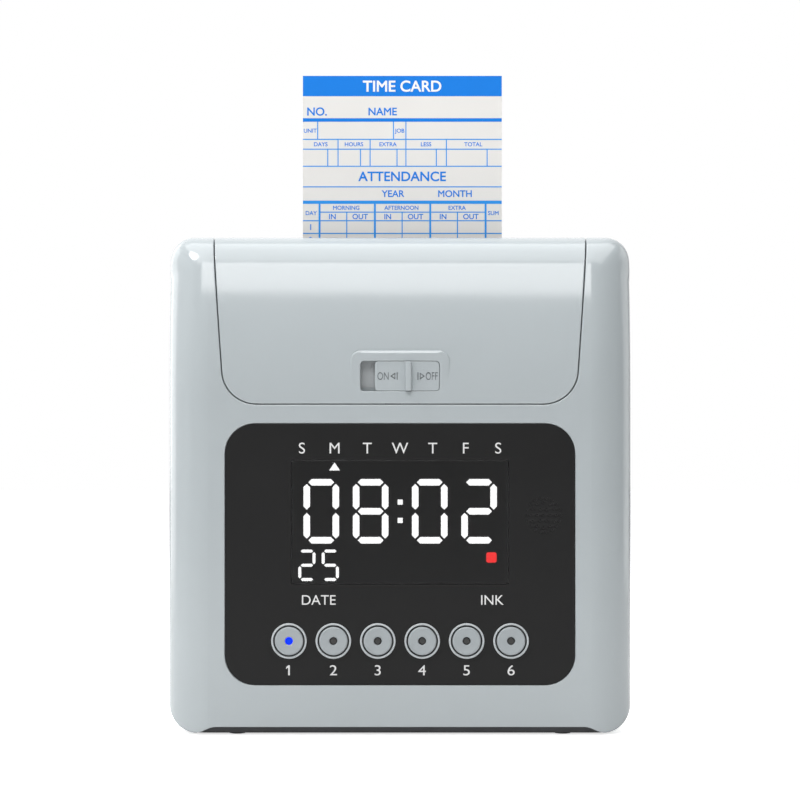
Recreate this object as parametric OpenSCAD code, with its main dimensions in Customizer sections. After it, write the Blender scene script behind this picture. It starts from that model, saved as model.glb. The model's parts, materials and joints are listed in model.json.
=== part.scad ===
// Punch-card time clock: a two-shell desk case with a hinged printer cover, a slide latch,
// a dark front panel with a segment display and six push buttons, and inside it the card feed,
// the carriage printer and the boards. Millimetres, +Z up, front towards -Y, origin on the table
// under the middle of the clock.

/* [Case] */
// Width of the case
case_w = 191; // [186:1:215]
// Depth from the front face to the back face
case_d = 116; // [112:1:140]
// Height from the table to the top of the case
case_h = 205; // [203:1:215]
// Thickness of the case walls
wall = 2.5; // [2.2:0.1:3]
// Rounding of the upright front edges, seen from above
plan_r = 18; // [12:1:18]
// Rounding of the upright rear edges, seen from above
rear_r = 6; // [4:0.5:9]
// Rounding of the upper corners, seen from the front
crown_r = 10; // [7:0.5:12]
// Rounding of the lower corners, seen from the front
heel_r = 12; // [9:0.5:14]
// Rounding of the top front edge, seen from the side
brow_r = 20; // [16:1:24]
// Radius of the lean of the upper front
lean_r = 160; // [140:5:260]
// Height at which the upper front starts to lean back
lean_z = 139; // [136:1:145]
// Height of the dark base that shows under the front edge
skirt_gap = 2; // [1.5:0.1:2.5]

/* [Base] */
// Thickness of the base plate
base_t = 3; // [2.5:0.1:4]
// Height of the rubber feet under the base
foot_h = 0.8; // [0.6:0.1:2]
// Diameter of a rubber foot
foot_d = 7; // [6:0.5:12]
// Distance from a foot to the base screw beside it, across the case
foot_inset = 10.5; // [8:0.5:14]

/* [Cover] */
// Width of the cover at the top edge
cover_top_w = 155; // [152:1:158]
// Width of the cover at its lower edge
cover_low_w = 146.6; // [144:0.2:150]
// Height of the cover's lower edge
cover_z = 135.4; // [133:0.2:136]
// Rounding of the cover's lower corners
cover_r = 14.4; // [8:0.2:18]
// Width of the seam around the cover
seam = 0.6; // [0.4:0.1:1]
// Distance from the front face back to the hinge axis
hinge_back = 56; // [54:0.5:58]
// Depth of the hinge axis under the top face
hinge_drop = 3.2; // [3.1:0.1:4]
// Radius of the cover's hinge barrel
barrel_r = 3; // [2.8:0.1:3]
// Diameter of the hinge pins
pin_d = 2.4; // [2:0.1:3]

/* [Latch] */
// Width of the latch window
latch_w = 32.5; // [28:0.5:40]
// Height of the latch window
latch_h = 12.4; // [10:0.2:14]
// Height of the window's lower edge
latch_z = 140.9; // [140.5:0.1:143]
// Travel of the latch slider
latch_travel = 5.8; // [4:0.2:6]
// Width of the finger rib
rib_w = 2.5; // [2:0.1:4]
// How far the finger rib stands out of the front face
rib_proud = 2; // [1.4:0.1:3]

/* [Front panel] */
// Width of the dark front panel
panel_w = 143.3; // [141:0.1:147]
// Height of the dark front panel
panel_h = 107; // [104:0.5:109]
// Height of the panel's lower edge
panel_z = 20.6; // [20:0.2:23]
// Thickness of the panel
panel_t = 2; // [1.6:0.1:2.4]
// Rounding of the panel's corners
panel_r = 12.3; // [6:0.1:16]
// Width of the display window
window_w = 89.2; // [88:0.1:91]
// Height of the display window
window_h = 51; // [50:0.5:52]
// Height of the display window's middle
window_z = 87.3; // [86:0.1:88]
// Distance of the speaker grille from the middle
speaker_x = 58.8; // [58.5:0.1:59.5]
// Diameter of the speaker
speaker_d = 26; // [22:0.5:27]

/* [Digits] */
// Height of the hour and minute digits
digit_h = 26.7; // [24:0.1:27]
// Height of the day digits
day_h = 13.06; // [11:0.01:13.2]

/* [Buttons] */
// Distance between neighbouring buttons
button_pitch = 18.19; // [17.5:0.01:20]
// Height of the button row
button_z = 38.6; // [37:0.1:40]
// Diameter of a button cap
cap_d = 12.1; // [10:0.1:12.4]
// Outer diameter of a button's ring
ring_d = 14.6; // [14.6:0.1:16]
// How far a button stands out of the panel
cap_proud = 1.1; // [0.6:0.1:1.4]
// Travel of a button
button_travel = 0.8; // [0.5:0.1:1]

/* [Card] */
// Width of the time card
card_w = 85; // [80:0.5:88]
// Length of the time card
card_l = 188; // [180:1:195]
// Thickness of the time card
card_t = 0.3; // [0.2:0.05:0.5]
// Length of card that stands out of the case
card_out = 70.8; // [50:0.1:74]
// Width of the card slot
slot_w = 89; // [89:0.5:92]
// Depth of the card slot, front to back
slot_t = 3; // [2.6:0.1:3.4]

/* [Printer] */
// Clear width between the side frames
bay_w = 120; // [118:1:124]
// Thickness of the side frames
frame_t = 1.6; // [1.2:0.1:2]
// Height of the print line
print_z = 166.5; // [166:0.5:168]
// Diameter of the two carriage rods
rod_d = 6; // [5:0.5:6]
// Travel of the carriage to each side
carriage_travel = 34; // [28:1:34]
// Pitch radius of the belt pulleys
pulley_r = 7; // [6:0.5:8]
// Diameter of the carriage motor
carriage_motor_d = 26; // [24:1:28]
// Tilt height of the ribbon cradle's pivot above the carriage
cradle_lift = 2; // [1.5:0.1:3]

/* [Card feed] */
// Height of the feed rollers
feed_z = 112; // [110:1:114]
// Diameter of the feed rollers
feed_roller_d = 14; // [12:0.5:15]
// Diameter of the pinch rollers
pinch_roller_d = 10; // [8:0.5:12]
// Diameter of the feed shaft
feed_shaft_d = 5; // [4:0.5:5]
// Diameter of the feed motor
feed_motor_d = 35; // [30:0.5:35]
// Module of the feed gears
gear_module = 0.8; // [0.7:0.05:0.8]
// Teeth on the feed gear
gear_teeth = 40; // [38:1:44]
// Teeth on the motor pinion
pinion_teeth = 12; // [12:1:14]
// Face width of the gears
gear_w = 5; // [4:0.5:6]

/* [Boards] */
// Thickness of the circuit boards
board_t = 1.6; // [1.2:0.1:2]
// Distance between the two keyholes in the back
keyhole_pitch = 110; // [90:1:120]
// Diameter of a keyhole's round opening
keyhole_d = 9; // [8:0.2:10]

/* [Hidden] */
$fn = 48;
// Clearances: running fit of a shaft, slip of a sliding piece, and air between moving pieces
run = 0.05;
slip = 0.15;
air = 0.4;
// Reach of a cutting tool past the face that it cuts
past = 1;
// Number of steps in a rounded corner of a case outline
arc_steps = 8;

// Main planes of the case
front_y = -(case_d - rib_proud) / 2;
rear_y = front_y + case_d;
base_z = foot_h;
base_top = base_z + base_t;
hinge_y = front_y + hinge_back;
hinge_z = case_h - hinge_drop;
split_y = hinge_y + barrel_r + seam;
deck_lip = 5.4;
card_y = split_y + deck_lip;
inner_x = case_w / 2 - wall;

// Front panel planes
seat_y = front_y + panel_t;
backing_y = seat_y + wall;
panel_mid_z = panel_z + panel_h / 2;
backing_margin = 3;
lens_ledge = 0.8;
speaker_z = window_z + 2.8;
speaker_t = 4;
grille_rings = [[1, 0], [6, 2.6], [12, 5.2], [18, 7]];
grille_hole_d = 1.1;

// Buttons
button_count = 6;
function button_x(i) = (i - (button_count - 1) / 2) * button_pitch;
ring_gap = 0.35;
ring_wall = 0.55;
ring_proud = 0.7;
flange_w = 1.5;
flange_t = 1.2;
cap_front_y = front_y - cap_proud;
flange_y = backing_y + slip;
dome_h = 3.2;
board_y = flange_y + flange_t + dome_h;
led_d = 3;
led_air = 0.1;
ring_bore_r = cap_d / 2 + ring_gap;
sleeve_r = ring_bore_r + ring_wall;

// Screws and the posts that take them
screw_d = 2.4;
screw_head_d = 5.2;
screw_head_t = 1.6;
post_r = 4;
post_bite = 0.5;
board_post_r = 3;
board_screw_d = 2;
board_screw_head_d = 4;
base_screw_x = case_w / 2 - heel_r - 6;
base_post_h = 14;
base_screw_l = 12;
corner_post_x = inner_x - post_r + post_bite;
corner_post_z = case_h - crown_r - 12;
corner_post_l = 18;
corner_screw_l = 20;
corner_head_y = split_y + 10;

// Front board
front_board_w = panel_w - 8;
front_board_h = panel_h - 4;
front_board_post_x = front_board_w / 2 - 3.4;
front_board_post_z = front_board_h / 2 - 3.4;

// Latch, from the window backwards
latch_x0 = -latch_w / 2;
latch_x1 = latch_w / 2;
boss_margin = 5;
slider_x0 = latch_x0 + latch_travel + slip;
slider_x1 = latch_x1 - slip;
slider_inset = 0.3;
latch_lip = 2;
latch_flange_t = 1.5;
latch_flange_y = front_y + wall + slip;
latch_flange_y1 = latch_flange_y + latch_flange_t;
rib_x = slider_x0 + (slider_x1 - slider_x0) * 0.52;
tongue_w = 6;
tongue_t = 1.5;
ledge_t = 2;
ledge_y = front_y + wall + air;
ledge_y1 = ledge_y + ledge_t;
ledge_up = 2.2;
ledge_down = 8;
ledge_w = cover_low_w - 2 * cover_r - 6;
tongue_y = ledge_y1 + air;
tongue_drop = 1.6;
tongue_z = cover_z - tongue_drop;
tongue_x = rib_x - tongue_w / 2;
tongue_arm_z = latch_z - latch_lip;
tongue_arm_h = 3;
spring_t = 0.4;
spring_x0 = tongue_x + 0.6;
spring_root_w = 8;
leaf_z0 = tongue_z;
leaf_z1 = cover_z + ledge_up - air;
notch_x0 = tongue_x - latch_travel - air;
notch_x1 = tongue_x + tongue_w + 4 * air;
retainer_t = 1.5;
retainer_y = latch_flange_y1 + slip;
retainer_foot = 4;
retainer_x0 = slider_x0 - latch_lip - latch_travel - air;
retainer_x1 = slider_x1 + latch_lip + air;

// Card path
card_x = 1;
card_z0 = case_h + card_out - card_l;
throat_wall = 1.5;
throat_flange = 3;
throat_flange_t = 0.8;
throat_drop = 10;
channel = 1.4;
guide_t = 1.2;
guide_low_z = 40;
front_guide_y = card_y - channel - guide_t;
rear_guide_y = card_y + channel;
guide_top_z = case_h - throat_drop - air;

// Printer
frame_front = 13.5;
frame_back = 16;
frame_boss_h = 6;
frame_above = 14;
frame_y0 = front_y + frame_front;
frame_y1 = card_y + frame_back;
frame_foot_z = base_top + frame_boss_h;
frame_foot_w = 12;
frame_screw_in = 12;
frame_step = 6;
frame_chamfer = 8;
frame_waist = 30;
frame_top_z = print_z + frame_above;
rod_drop = 18.5;
rod_ahead = 7;
rod_z = print_z - rod_drop;
rod_y = hinge_y - rod_ahead;
rod_gap = 18;
carriage_w = 30;
carriage_margin = 5.5;
clamp_w = 7;
carriage_below = 6;
carriage_above = 7;
carriage_z0 = rod_z - carriage_below;
carriage_z1 = rod_z + carriage_above;
head_w = 22;
head_behind = 1;
head_y1 = hinge_y + head_behind;
head_above = 3;
nose_l = 3.6;
nose_y = head_y1 + nose_l;
nose_low_w = 12;
nose_top_w = 8;
nose_below = 6;
nose_above = 5;
ribbon_gap = 2.4;
ribbon_y = card_y - ribbon_gap;
ribbon_t = 0.15;
ribbon_h = 13;
bed_drop = 20;
bed_z = rod_z - bed_drop;
bed_t = 2;
bed_front = 1;
bed_back = 4;
belt_h = 5;
belt_t = 1;
belt_ahead = 9;
belt_lift = 4;
belt_y = rod_y - belt_ahead;
belt_z = bed_z + bed_t + belt_lift;
motor_gap = 1;
pulley_x = bay_w / 2 - carriage_motor_d / 2 - motor_gap;
idler_head = 2;
idler_shoulder = 3;
pulley_flange = 1.6;
pulley_flange_t = 0.8;
pulley_shaft_d = 3;
motor_h = 20;
cradle_z = carriage_z1 + cradle_lift;
cradle_t = 1.2;
cradle_w = bay_w - 2 * air;
cradle_front = 1;
cradle_back = 4;
cradle_y0 = frame_y0 + cradle_front;
cradle_y1 = rod_y - rod_gap + cradle_back;
cradle_ear_h = 8;
pivot_in = 5;
pivot_up = 4;
cradle_pivot_y = cradle_y0 + pivot_in;
cradle_pivot_z = cradle_z + pivot_up;
cradle_pin_d = 3;
cartridge_w = cradle_w - 2 * cradle_t - 2 * slip;
cartridge_h = 18;
cartridge_z = cradle_z + cradle_t;
arm_w = 8;
arm_in = 1;
arm_x = cartridge_w / 2 - arm_w - arm_in;
arm_margin = 1;
arm_h = ribbon_h + 2 * arm_margin;
arm_z = print_z - arm_h / 2;
arm_tip = 1.2;
arm_root = 2;
cartridge_in = 0.5;
knob_in = 14;
knob_x = -cartridge_w / 2 + knob_in;
knob_y = (cradle_y0 + cradle_y1) / 2;
knob_d = 13;
knob_h = 3.6;
knob_stem_d = 6;
knob_stem_l = 8;
knob_ribs = 18;
knob_groove = 0.8;
platen_h = 16;
platen_t = 6;
platen_over = 5;
platen_w = slot_w + 2 * platen_over;

// Card feed
feed_y = card_y - card_t / 2 - air - feed_roller_d / 2;
pinch_gap = 0.8;
pinch_y = card_y + card_t / 2 + pinch_gap + pinch_roller_d / 2;
roller_x = 24;
roller_w = 12;
pinch_shaft_d = 3;
roller_side = 2;
roller_window_w = roller_w + 2 * roller_side;
gear_x = bay_w / 2 + frame_t + 1;
feed_shaft_x0 = -bay_w / 2 - frame_t - 3;
feed_shaft_x1 = gear_x + gear_w + 2;
pressure_angle = 25;
backlash = 0.16;
gear_angle = 210;
centre_distance = gear_module * (gear_teeth + pinion_teeth) / 2;
feed_motor_y = feed_y + centre_distance * cos(gear_angle);
feed_motor_z = feed_z + centre_distance * sin(gear_angle);
feed_motor_l = 22;
feed_motor_shaft_d = 3;

// Rear board, power and openings in the back
main_board_w = 124;
main_board_h = 100;
main_board_z = 74;
main_board_y = rear_y - wall - 8 - board_t;
main_post_x = main_board_w / 2 - 5;
main_post_z = main_board_h / 2 - 5;
keyhole_z = 150;
keyhole_rise = 8;
keyhole_slot_d = keyhole_d / 2;
vent_count = 9;
vent_pitch = 8;
vent_w = 3;
vent_h = 14;
vent_z = 134;
jack_d = 10;
jack_bore_d = 6.2;
jack_pin_d = 2;
jack_depth = 9;
jack_body = [14, 12, 12];
jack_gap = 4.5;
jack_x = -(base_screw_x - post_r - jack_body[0] / 2 - jack_gap);
jack_z = main_board_z - main_board_h / 2 - jack_body[2] / 2 - 1;
label_w = 64;
label_h = 34;
label_z = 92;
label_depth = 0.4;

// Points along a circular arc
function arc(cx, cy, r, a0, a1, n = arc_steps) =
    [for (k = [0 : n]) let (a = a0 + (a1 - a0) * k / n) [cx + r * cos(a), cy + r * sin(a)]];

// Outline of a rectangle with its own rounding at the low and at the high end of the second axis
function soft_rect(x0, x1, y0, y1, r_low, r_high) = concat(
    arc(x0 + r_low, y0 + r_low, r_low, 180, 270), arc(x1 - r_low, y0 + r_low, r_low, 270, 360),
    arc(x1 - r_high, y1 - r_high, r_high, 0, 90), arc(x0 + r_high, y1 - r_high, r_high, 90, 180));

// Box between two limits on each axis
module span(x, y, z) {
    translate([x[0], y[0], z[0]]) cube([x[1] - x[0], y[1] - y[0], z[1] - z[0]]);
}

// Extrusions of an outline in Y and Z, in X and Z, and in X and Y
module along_x(x0, x1) {
    translate([x0, 0, 0]) rotate([90, 0, 90]) linear_extrude(x1 - x0) children();
}
module along_y(y0, y1) {
    translate([0, y1, 0]) rotate([90, 0, 0]) linear_extrude(y1 - y0) children();
}
module along_z(z0, z1) {
    translate([0, 0, z0]) linear_extrude(z1 - z0) children();
}

// Round bars along the three axes
module bar_x(d, x0, x1, y, z) {
    translate([x0, y, z]) rotate([0, 90, 0]) cylinder(d = d, h = x1 - x0);
}
module bar_y(d, y0, y1, x, z) {
    translate([x, y1, z]) rotate([90, 0, 0]) cylinder(d = d, h = y1 - y0);
}
module bar_z(d, z0, z1, x, y) {
    translate([x, y, z0]) cylinder(d = d, h = z1 - z0);
}

// Copies at plus and minus x
module both_sides() {
    children();
    mirror([1, 0, 0]) children();
}

// Rounded rectangle in X and Z, extruded along Y
module soft_plate(w, h, r, y0, y1, x = 0, z = 0) {
    along_y(y0, y1) polygon(soft_rect(x - w / 2, x + w / 2, z - h / 2, z + h / 2, r, r));
}

// Side outline of the case, set in by a wall: upright front, leaning brow, rounded top edges
function side_outline(inset) =
    let (lean_cy = front_y + lean_r, top_cz = case_h - brow_r, reach = lean_r - brow_r,
         top_cy = lean_cy - sqrt(reach * reach - (top_cz - lean_z) * (top_cz - lean_z)),
         turn = 180 - asin((top_cz - lean_z) / reach))
    concat([[front_y + inset, base_z - inset]],
           arc(lean_cy, lean_z, lean_r - inset, 180, turn),
           arc(top_cy, top_cz, brow_r - inset, turn, 90),
           arc(rear_y - rear_r, case_h - rear_r, rear_r - inset, 90, 0),
           [[rear_y - inset, base_z - inset]]);

// Lean of the front at each step up the brow, with the centre that the step turns about
lean_turn = asin((case_h - brow_r - lean_z) / (lean_r - brow_r));
lean_cy = front_y + lean_r;
brow_cy = lean_cy - (lean_r - brow_r) * cos(lean_turn);
lean_steps = [for (k = [1 : 4]) [lean_turn * k / 4, lean_cy, lean_z, 0]];
brow_steps = [for (k = [1 : 3]) [lean_turn + (90 - lean_turn) * k / 5, brow_cy, case_h - brow_r,
    lean_r - brow_r]];

// The case as a solid, set in by a wall from every face but the bottom
module case_form(inset) {
    half = case_w / 2 - inset;
    far = case_h + case_d;
    intersection() {
        along_x(-half, half) polygon(side_outline(inset));
        along_y(front_y, rear_y)
            polygon(soft_rect(-half, half, base_z + inset, case_h - inset, heel_r - inset,
                crown_r - inset));
        along_z(base_z - past, case_h)
            polygon(soft_rect(-half, half, front_y + inset, rear_y - inset, plan_r - inset,
                rear_r - inset));
        for_each_lean(inset, half + past / 10, far);
    }
}

// Upright prism with the front corners rounded, tilted back to every step of the lean and the brow
module for_each_lean(inset, half, far) {
    intersection_for (step = concat(lean_steps, brow_steps))
        translate([0, step[1], step[2]]) rotate([-step[0], 0, 0])
            translate([0, -lean_cy + step[3], 0]) along_z(-far, far)
                polygon(concat(arc(-half + plan_r - inset, front_y + plan_r, plan_r - inset, 180, 270),
                               arc(half - plan_r + inset, front_y + plan_r, plan_r - inset, 270, 360),
                               [[half, far], [-half, far]]));
}

// Hollow case with the opening for the base plate
module case_shell() {
    opening = case_w / 2 - heel_r;
    difference() {
        case_form(0);
        case_form(wall);
        span([-opening, opening], [front_y + wall, rear_y - wall], [base_z - past, base_z + wall + past]);
    }
}

// Outline of the cover in X and Z, drawn in by a gap
module cover_outline(gap) {
    low = cover_low_w / 2 - gap;
    top = cover_top_w / 2 - gap;
    r = cover_r - gap;
    high = case_h + past;
    polygon(concat(arc(-low + r, cover_z + gap + r, r, 180, 270),
                   arc(low - r, cover_z + gap + r, r, 270, 360),
                   [[top, high], [-top, high]]));
}

// Screw with a flat round head, drawn with its shank up
module screw(d, length, head_d, head_t) {
    cylinder(d = head_d, h = head_t);
    cylinder(d = d, h = head_t + length);
}

// Post that stands inside a wall and takes a screw, drawn upwards
module post(r, h) {
    cylinder(r = r, h = h);
}

module front_housing() {
    color("#b9c1c5") difference() {
        union() {
            intersection() {
                case_shell();
                span([-case_w, case_w], [front_y - past, split_y - seam / 4], [0, case_h + past]);
            }
            soft_plate(panel_w + 2 * backing_margin, panel_h + 2 * backing_margin, panel_r,
                front_y + wall / 2, backing_y, 0,
                       panel_mid_z);
            cover_ledge();
            both_sides() {
                bar_x(2 * barrel_r - 0.2, cover_top_w / 2 - past / 4, cover_top_w / 2 + 7, hinge_y,
                    hinge_z);
                translate([base_screw_x, front_y + wall + post_r - post_bite, base_top]) post(post_r,
                    base_post_h);
                bar_y(2 * post_r, split_y - corner_post_l, split_y - seam / 4, corner_post_x,
                    corner_post_z);
                for (dz = [-1, 1])
                    bar_y(2 * board_post_r, backing_y - past, board_y, front_board_post_x,
                          panel_mid_z + dz * front_board_post_z);
            }
        }
        along_y(front_y - past, ledge_y - air / 2) cover_outline(0);
        intersection() {
            along_y(front_y - past, split_y + past) cover_outline(0);
            span([-case_w, case_w], [ledge_y - air, split_y + past],
                [cover_z + ledge_up + past, case_h + past]);
        }
        soft_plate(panel_w + 2 * slip, panel_h + 2 * slip, panel_r, front_y - past, seat_y, 0,
            panel_mid_z);
        soft_plate(window_w - 2 * lens_ledge, window_h - 2 * lens_ledge, 1, seat_y - past,
            backing_y + past, 0, window_z);
        for (i = [0 : button_count - 1])
            bar_y(2 * ring_bore_r, seat_y - past, backing_y + past, button_x(i), button_z);
        bar_y(2 * grille_rings[3][1] + grille_hole_d + 1, seat_y - past, backing_y + past, speaker_x,
            speaker_z);
        skirt_relief();
        both_sides() {
            bar_x(pin_d, cover_top_w / 2 - past, cover_top_w / 2 + 6, hinge_y, hinge_z);
            bar_z(screw_d + run, base_top - past, base_top + base_screw_l, base_screw_x,
                  front_y + wall + post_r - post_bite);
            bar_y(screw_d + run, corner_head_y - corner_screw_l - 1, split_y + past, corner_post_x,
                corner_post_z);
            for (dz = [-1, 1])
                bar_y(board_screw_d + run, backing_y + 0.5, board_y + past, front_board_post_x,
                      panel_mid_z + dz * front_board_post_z);
        }
    }
}

// Shelf behind the cover's lower edge, notched where the latch tongue passes
module cover_ledge() {
    difference() {
        span([-ledge_w / 2, ledge_w / 2], [front_y + wall / 2, ledge_y1],
            [cover_z - ledge_down, cover_z + ledge_up]);
        span([notch_x0, notch_x1], [front_y + wall, ledge_y1 + past],
            [tongue_z - air, cover_z + ledge_up + past]);
        span([-case_w, case_w], [front_y, ledge_y], [cover_z - seam, cover_z + ledge_up + past]);
    }
}

// Low arch in the front edge that lets the base show
module skirt_relief() {
    low = case_w / 2 - heel_r - 1;
    along_y(front_y - past, front_y + wall + past)
        polygon([[-low - 2, base_z - past], [-low, base_z + skirt_gap], [low, base_z + skirt_gap],
            [low + 2, base_z - past]]);
}

module rear_housing() {
    color("#b9c1c5") difference() {
        union() {
            intersection() {
                case_shell();
                span([-case_w, case_w], [split_y + seam / 4, rear_y + past], [0, case_h + past]);
            }
            both_sides() {
                bar_y(2 * post_r, split_y + seam / 4, rear_y - wall / 2, corner_post_x, corner_post_z);
                translate([base_screw_x, rear_y - wall - post_r + post_bite, base_top]) post(post_r,
                    base_post_h);
                for (dz = [-1, 1])
                    bar_y(2 * board_post_r, main_board_y + board_t, rear_y - wall / 2, main_post_x,
                          main_board_z + dz * main_post_z);
            }
        }
        soft_plate_z(slot_w + 2 * throat_wall + 2 * slip, slot_t + 2 * throat_wall + 2 * slip,
            case_h - wall - past,
                     case_h + past);
        both_sides() {
            bar_y(screw_d + 2 * slip, split_y - past, rear_y + past, corner_post_x, corner_post_z);
            bar_y(screw_head_d + 2 * slip, corner_head_y, rear_y + past, corner_post_x, corner_post_z);
            bar_z(screw_d + run, base_top - past, base_top + base_screw_l, base_screw_x,
                  rear_y - wall - post_r + post_bite);
            for (dz = [-1, 1])
                bar_y(board_screw_d + run, main_board_y, rear_y - wall, main_post_x,
                    main_board_z + dz * main_post_z);
            keyhole();
        }
        for (i = [0 : vent_count - 1])
            soft_plate(vent_w, vent_h, vent_w / 2 - 0.01, rear_y - wall - past, rear_y + past,
                       (i - (vent_count - 1) / 2) * vent_pitch, vent_z);
        bar_y(jack_d + 2 * slip, rear_y - wall - past, rear_y + past, jack_x, jack_z);
        soft_plate(label_w, label_h, 2, rear_y - label_depth, rear_y + past, 0, label_z);
    }
}

// Rectangle round the card slot, extruded upwards
module soft_plate_z(w, d, z0, z1) {
    along_z(z0, z1) polygon(soft_rect(-w / 2, w / 2, card_y - d / 2, card_y + d / 2, 1, 1));
}

// Keyhole for hanging the clock on a screw
module keyhole() {
    bar_y(keyhole_d, rear_y - wall - past, rear_y + past, keyhole_pitch / 2, keyhole_z);
    bar_y(keyhole_slot_d, rear_y - wall - past, rear_y + past, keyhole_pitch / 2,
        keyhole_z + keyhole_rise);
    span([keyhole_pitch / 2 - keyhole_slot_d / 2, keyhole_pitch / 2 + keyhole_slot_d / 2],
         [rear_y - wall - past, rear_y + past], [keyhole_z, keyhole_z + keyhole_rise]);
}

// Places of the base plate's four screws, of the four feet and of the four frame bosses
function base_screw_places() = [for (sx = [-1, 1], y = [front_y + wall + post_r - post_bite,
    rear_y - wall - post_r + post_bite]) [sx * base_screw_x, y]];
function foot_places() = [for (sx = [-1, 1],
    y = [front_y + wall + slip + foot_d, rear_y - wall - slip - foot_d])
    [sx * (base_screw_x - foot_inset), y]];
function frame_screw_places() = [for (sx = [-1, 1],
    y = [frame_y0 + frame_screw_in, frame_y1 - frame_screw_in])
    [sx * (bay_w / 2 + frame_t + frame_foot_w / 2), y]];

module base_plate() {
    half = case_w / 2 - heel_r - slip;
    inset = wall + slip;
    color("#3c3f42") difference() {
        union() {
            intersection() {
                span([-half, half], [front_y, rear_y], [base_z, base_top]);
                along_z(0, base_top)
                    polygon(soft_rect(-case_w / 2 + inset, case_w / 2 - inset, front_y + inset,
                        rear_y - inset, plan_r - inset,
                                      rear_r - inset));
            }
            for (p = frame_screw_places()) bar_z(2 * post_r, base_top - past, frame_foot_z, p[0], p[1]);
            battery_tray();
        }
        for (p = base_screw_places()) {
            bar_z(screw_d + 2 * slip, base_z - past, base_top + past, p[0], p[1]);
            bar_z(screw_head_d + 2 * slip, base_z - past, base_z + screw_head_t + slip, p[0], p[1]);
        }
        for (p = foot_places()) bar_z(foot_d + run, base_z - past, base_z + foot_sink, p[0], p[1]);
        for (p = frame_screw_places()) bar_z(screw_d + run, base_top, frame_foot_z + past, p[0], p[1]);
    }
}
foot_sink = 1.2;

module rubber_feet() {
    color("#141414") for (p = foot_places()) bar_z(foot_d, 0, base_z + foot_sink, p[0], p[1]);
}

module top_cover() {
    flat_top = latch_z + latch_h + boss_margin;
    reach = cover_top_w / 2 - seam - 0.3;
    color("#b9c1c5") difference() {
        union() {
            difference() {
                intersection() {
                    union() {
                        difference() {
                            case_form(0);
                            case_form(wall);
                        }
                        soft_plate(latch_w + 4 * boss_margin, latch_h + 2 * boss_margin, boss_margin,
                                   front_y, front_y + wall, 0, latch_z + latch_h / 2);
                    }
                    along_y(front_y - past, hinge_y) cover_outline(seam);
                }
                retainer_room();
            }
            bar_x(2 * barrel_r, -reach, reach, hinge_y, hinge_z);
            latch_pillars();
        }
        soft_plate(latch_w, latch_h, 1.6, front_y - past, front_y + wall + past, 0,
            latch_z + latch_h / 2);
        span([retainer_x0 - air, retainer_x1 + air], [front_y + wall, retainer_y - slip],
             [latch_z - latch_lip - air, flat_top]);
        both_sides() bar_x(pin_d + 2 * run, reach - 8, reach + past, hinge_y, hinge_z);
    }
}
stake_z = latch_z + latch_h / 2 + 2;
stake_d = 2;
stake_head_d = 3.4;
stake_head_t = 0.8;
stake_places = [retainer_x0 - retainer_foot / 2 - air, retainer_x1 + retainer_foot / 2 + air];

// Room for the latch retainer where the leaning wall comes close to it
module retainer_room() {
    half = retainer_foot / 2 + air;
    span([stake_places[0] - half, stake_places[1] + half],
         [retainer_y - slip, retainer_y + retainer_t + stake_head_t],
         [latch_z, latch_z + latch_h + latch_lip + air]);
}

// Two pillars inside the cover that carry the latch retainer on melted-over pegs
module latch_pillars() {
    for (x = stake_places) {
        span([x - retainer_foot / 2, x + retainer_foot / 2], [front_y + wall / 2, retainer_y],
             [stake_z - 4, stake_z + 4]);
        bar_y(stake_d, retainer_y - past, retainer_y + retainer_t + stake_head_t, x, stake_z);
        bar_y(stake_head_d, retainer_y + retainer_t, retainer_y + retainer_t + stake_head_t, x, stake_z);
    }
}

module hinge_pins() {
    inner = cover_top_w / 2 - seam - 0.3 - 7.5;
    color("#9a9da0") both_sides() bar_x(pin_d, inner, cover_top_w / 2 + 6, hinge_y, hinge_z);
}

module latch_slider() {
    mid_z = latch_z + latch_h / 2;
    mid_x = (slider_x0 + slider_x1) / 2;
    color("#b4bcc0") union() {
        soft_plate(slider_x1 - slider_x0, latch_h - 2 * slip, 1.4, front_y + slider_inset,
                   latch_flange_y + latch_flange_t / 2, mid_x, mid_z);
        span([rib_x - rib_w / 2, rib_x + rib_w / 2], [front_y - rib_proud, front_y + wall],
             [latch_z + slip, latch_z + latch_h - slip]);
        span([slider_x0 - latch_lip, slider_x1 + latch_lip], [latch_flange_y, latch_flange_y1],
             [latch_z - latch_lip, latch_z + latch_h + latch_lip]);
        span([tongue_x, tongue_x + tongue_w], [latch_flange_y, tongue_y + tongue_t],
            [tongue_arm_z, tongue_arm_z + tongue_arm_h]);
        span([tongue_x, tongue_x + tongue_w], [tongue_y, tongue_y + tongue_t],
            [tongue_z, tongue_arm_z + tongue_arm_h]);
    }
}

module latch_retainer() {
    low = tongue_arm_z + tongue_arm_h + air;
    color("#8f9699") difference() {
        span([stake_places[0] - retainer_foot / 2, stake_places[1] + retainer_foot / 2],
             [retainer_y, retainer_y + retainer_t], [low, latch_z + latch_h + latch_lip]);
        for (x = stake_places)
            bar_y(stake_d + 2 * run, retainer_y - past, retainer_y + retainer_t + past, x, stake_z);
    }
}

// Leaf spring on the ledge that holds the latch tongue while the latch is closed
module catch_spring() {
    step_x = notch_x1 - 2 * air;
    color("#c8cacc") union() {
        span([step_x, notch_x1 + spring_root_w], [ledge_y1, ledge_y1 + spring_t], [leaf_z0, leaf_z1]);
        span([step_x, notch_x1 - air], [ledge_y1 - spring_t, ledge_y1 + spring_t], [leaf_z0, leaf_z1]);
        span([spring_x0, notch_x1 - air], [ledge_y1 - spring_t, ledge_y1], [leaf_z0, leaf_z1]);
    }
}

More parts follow.
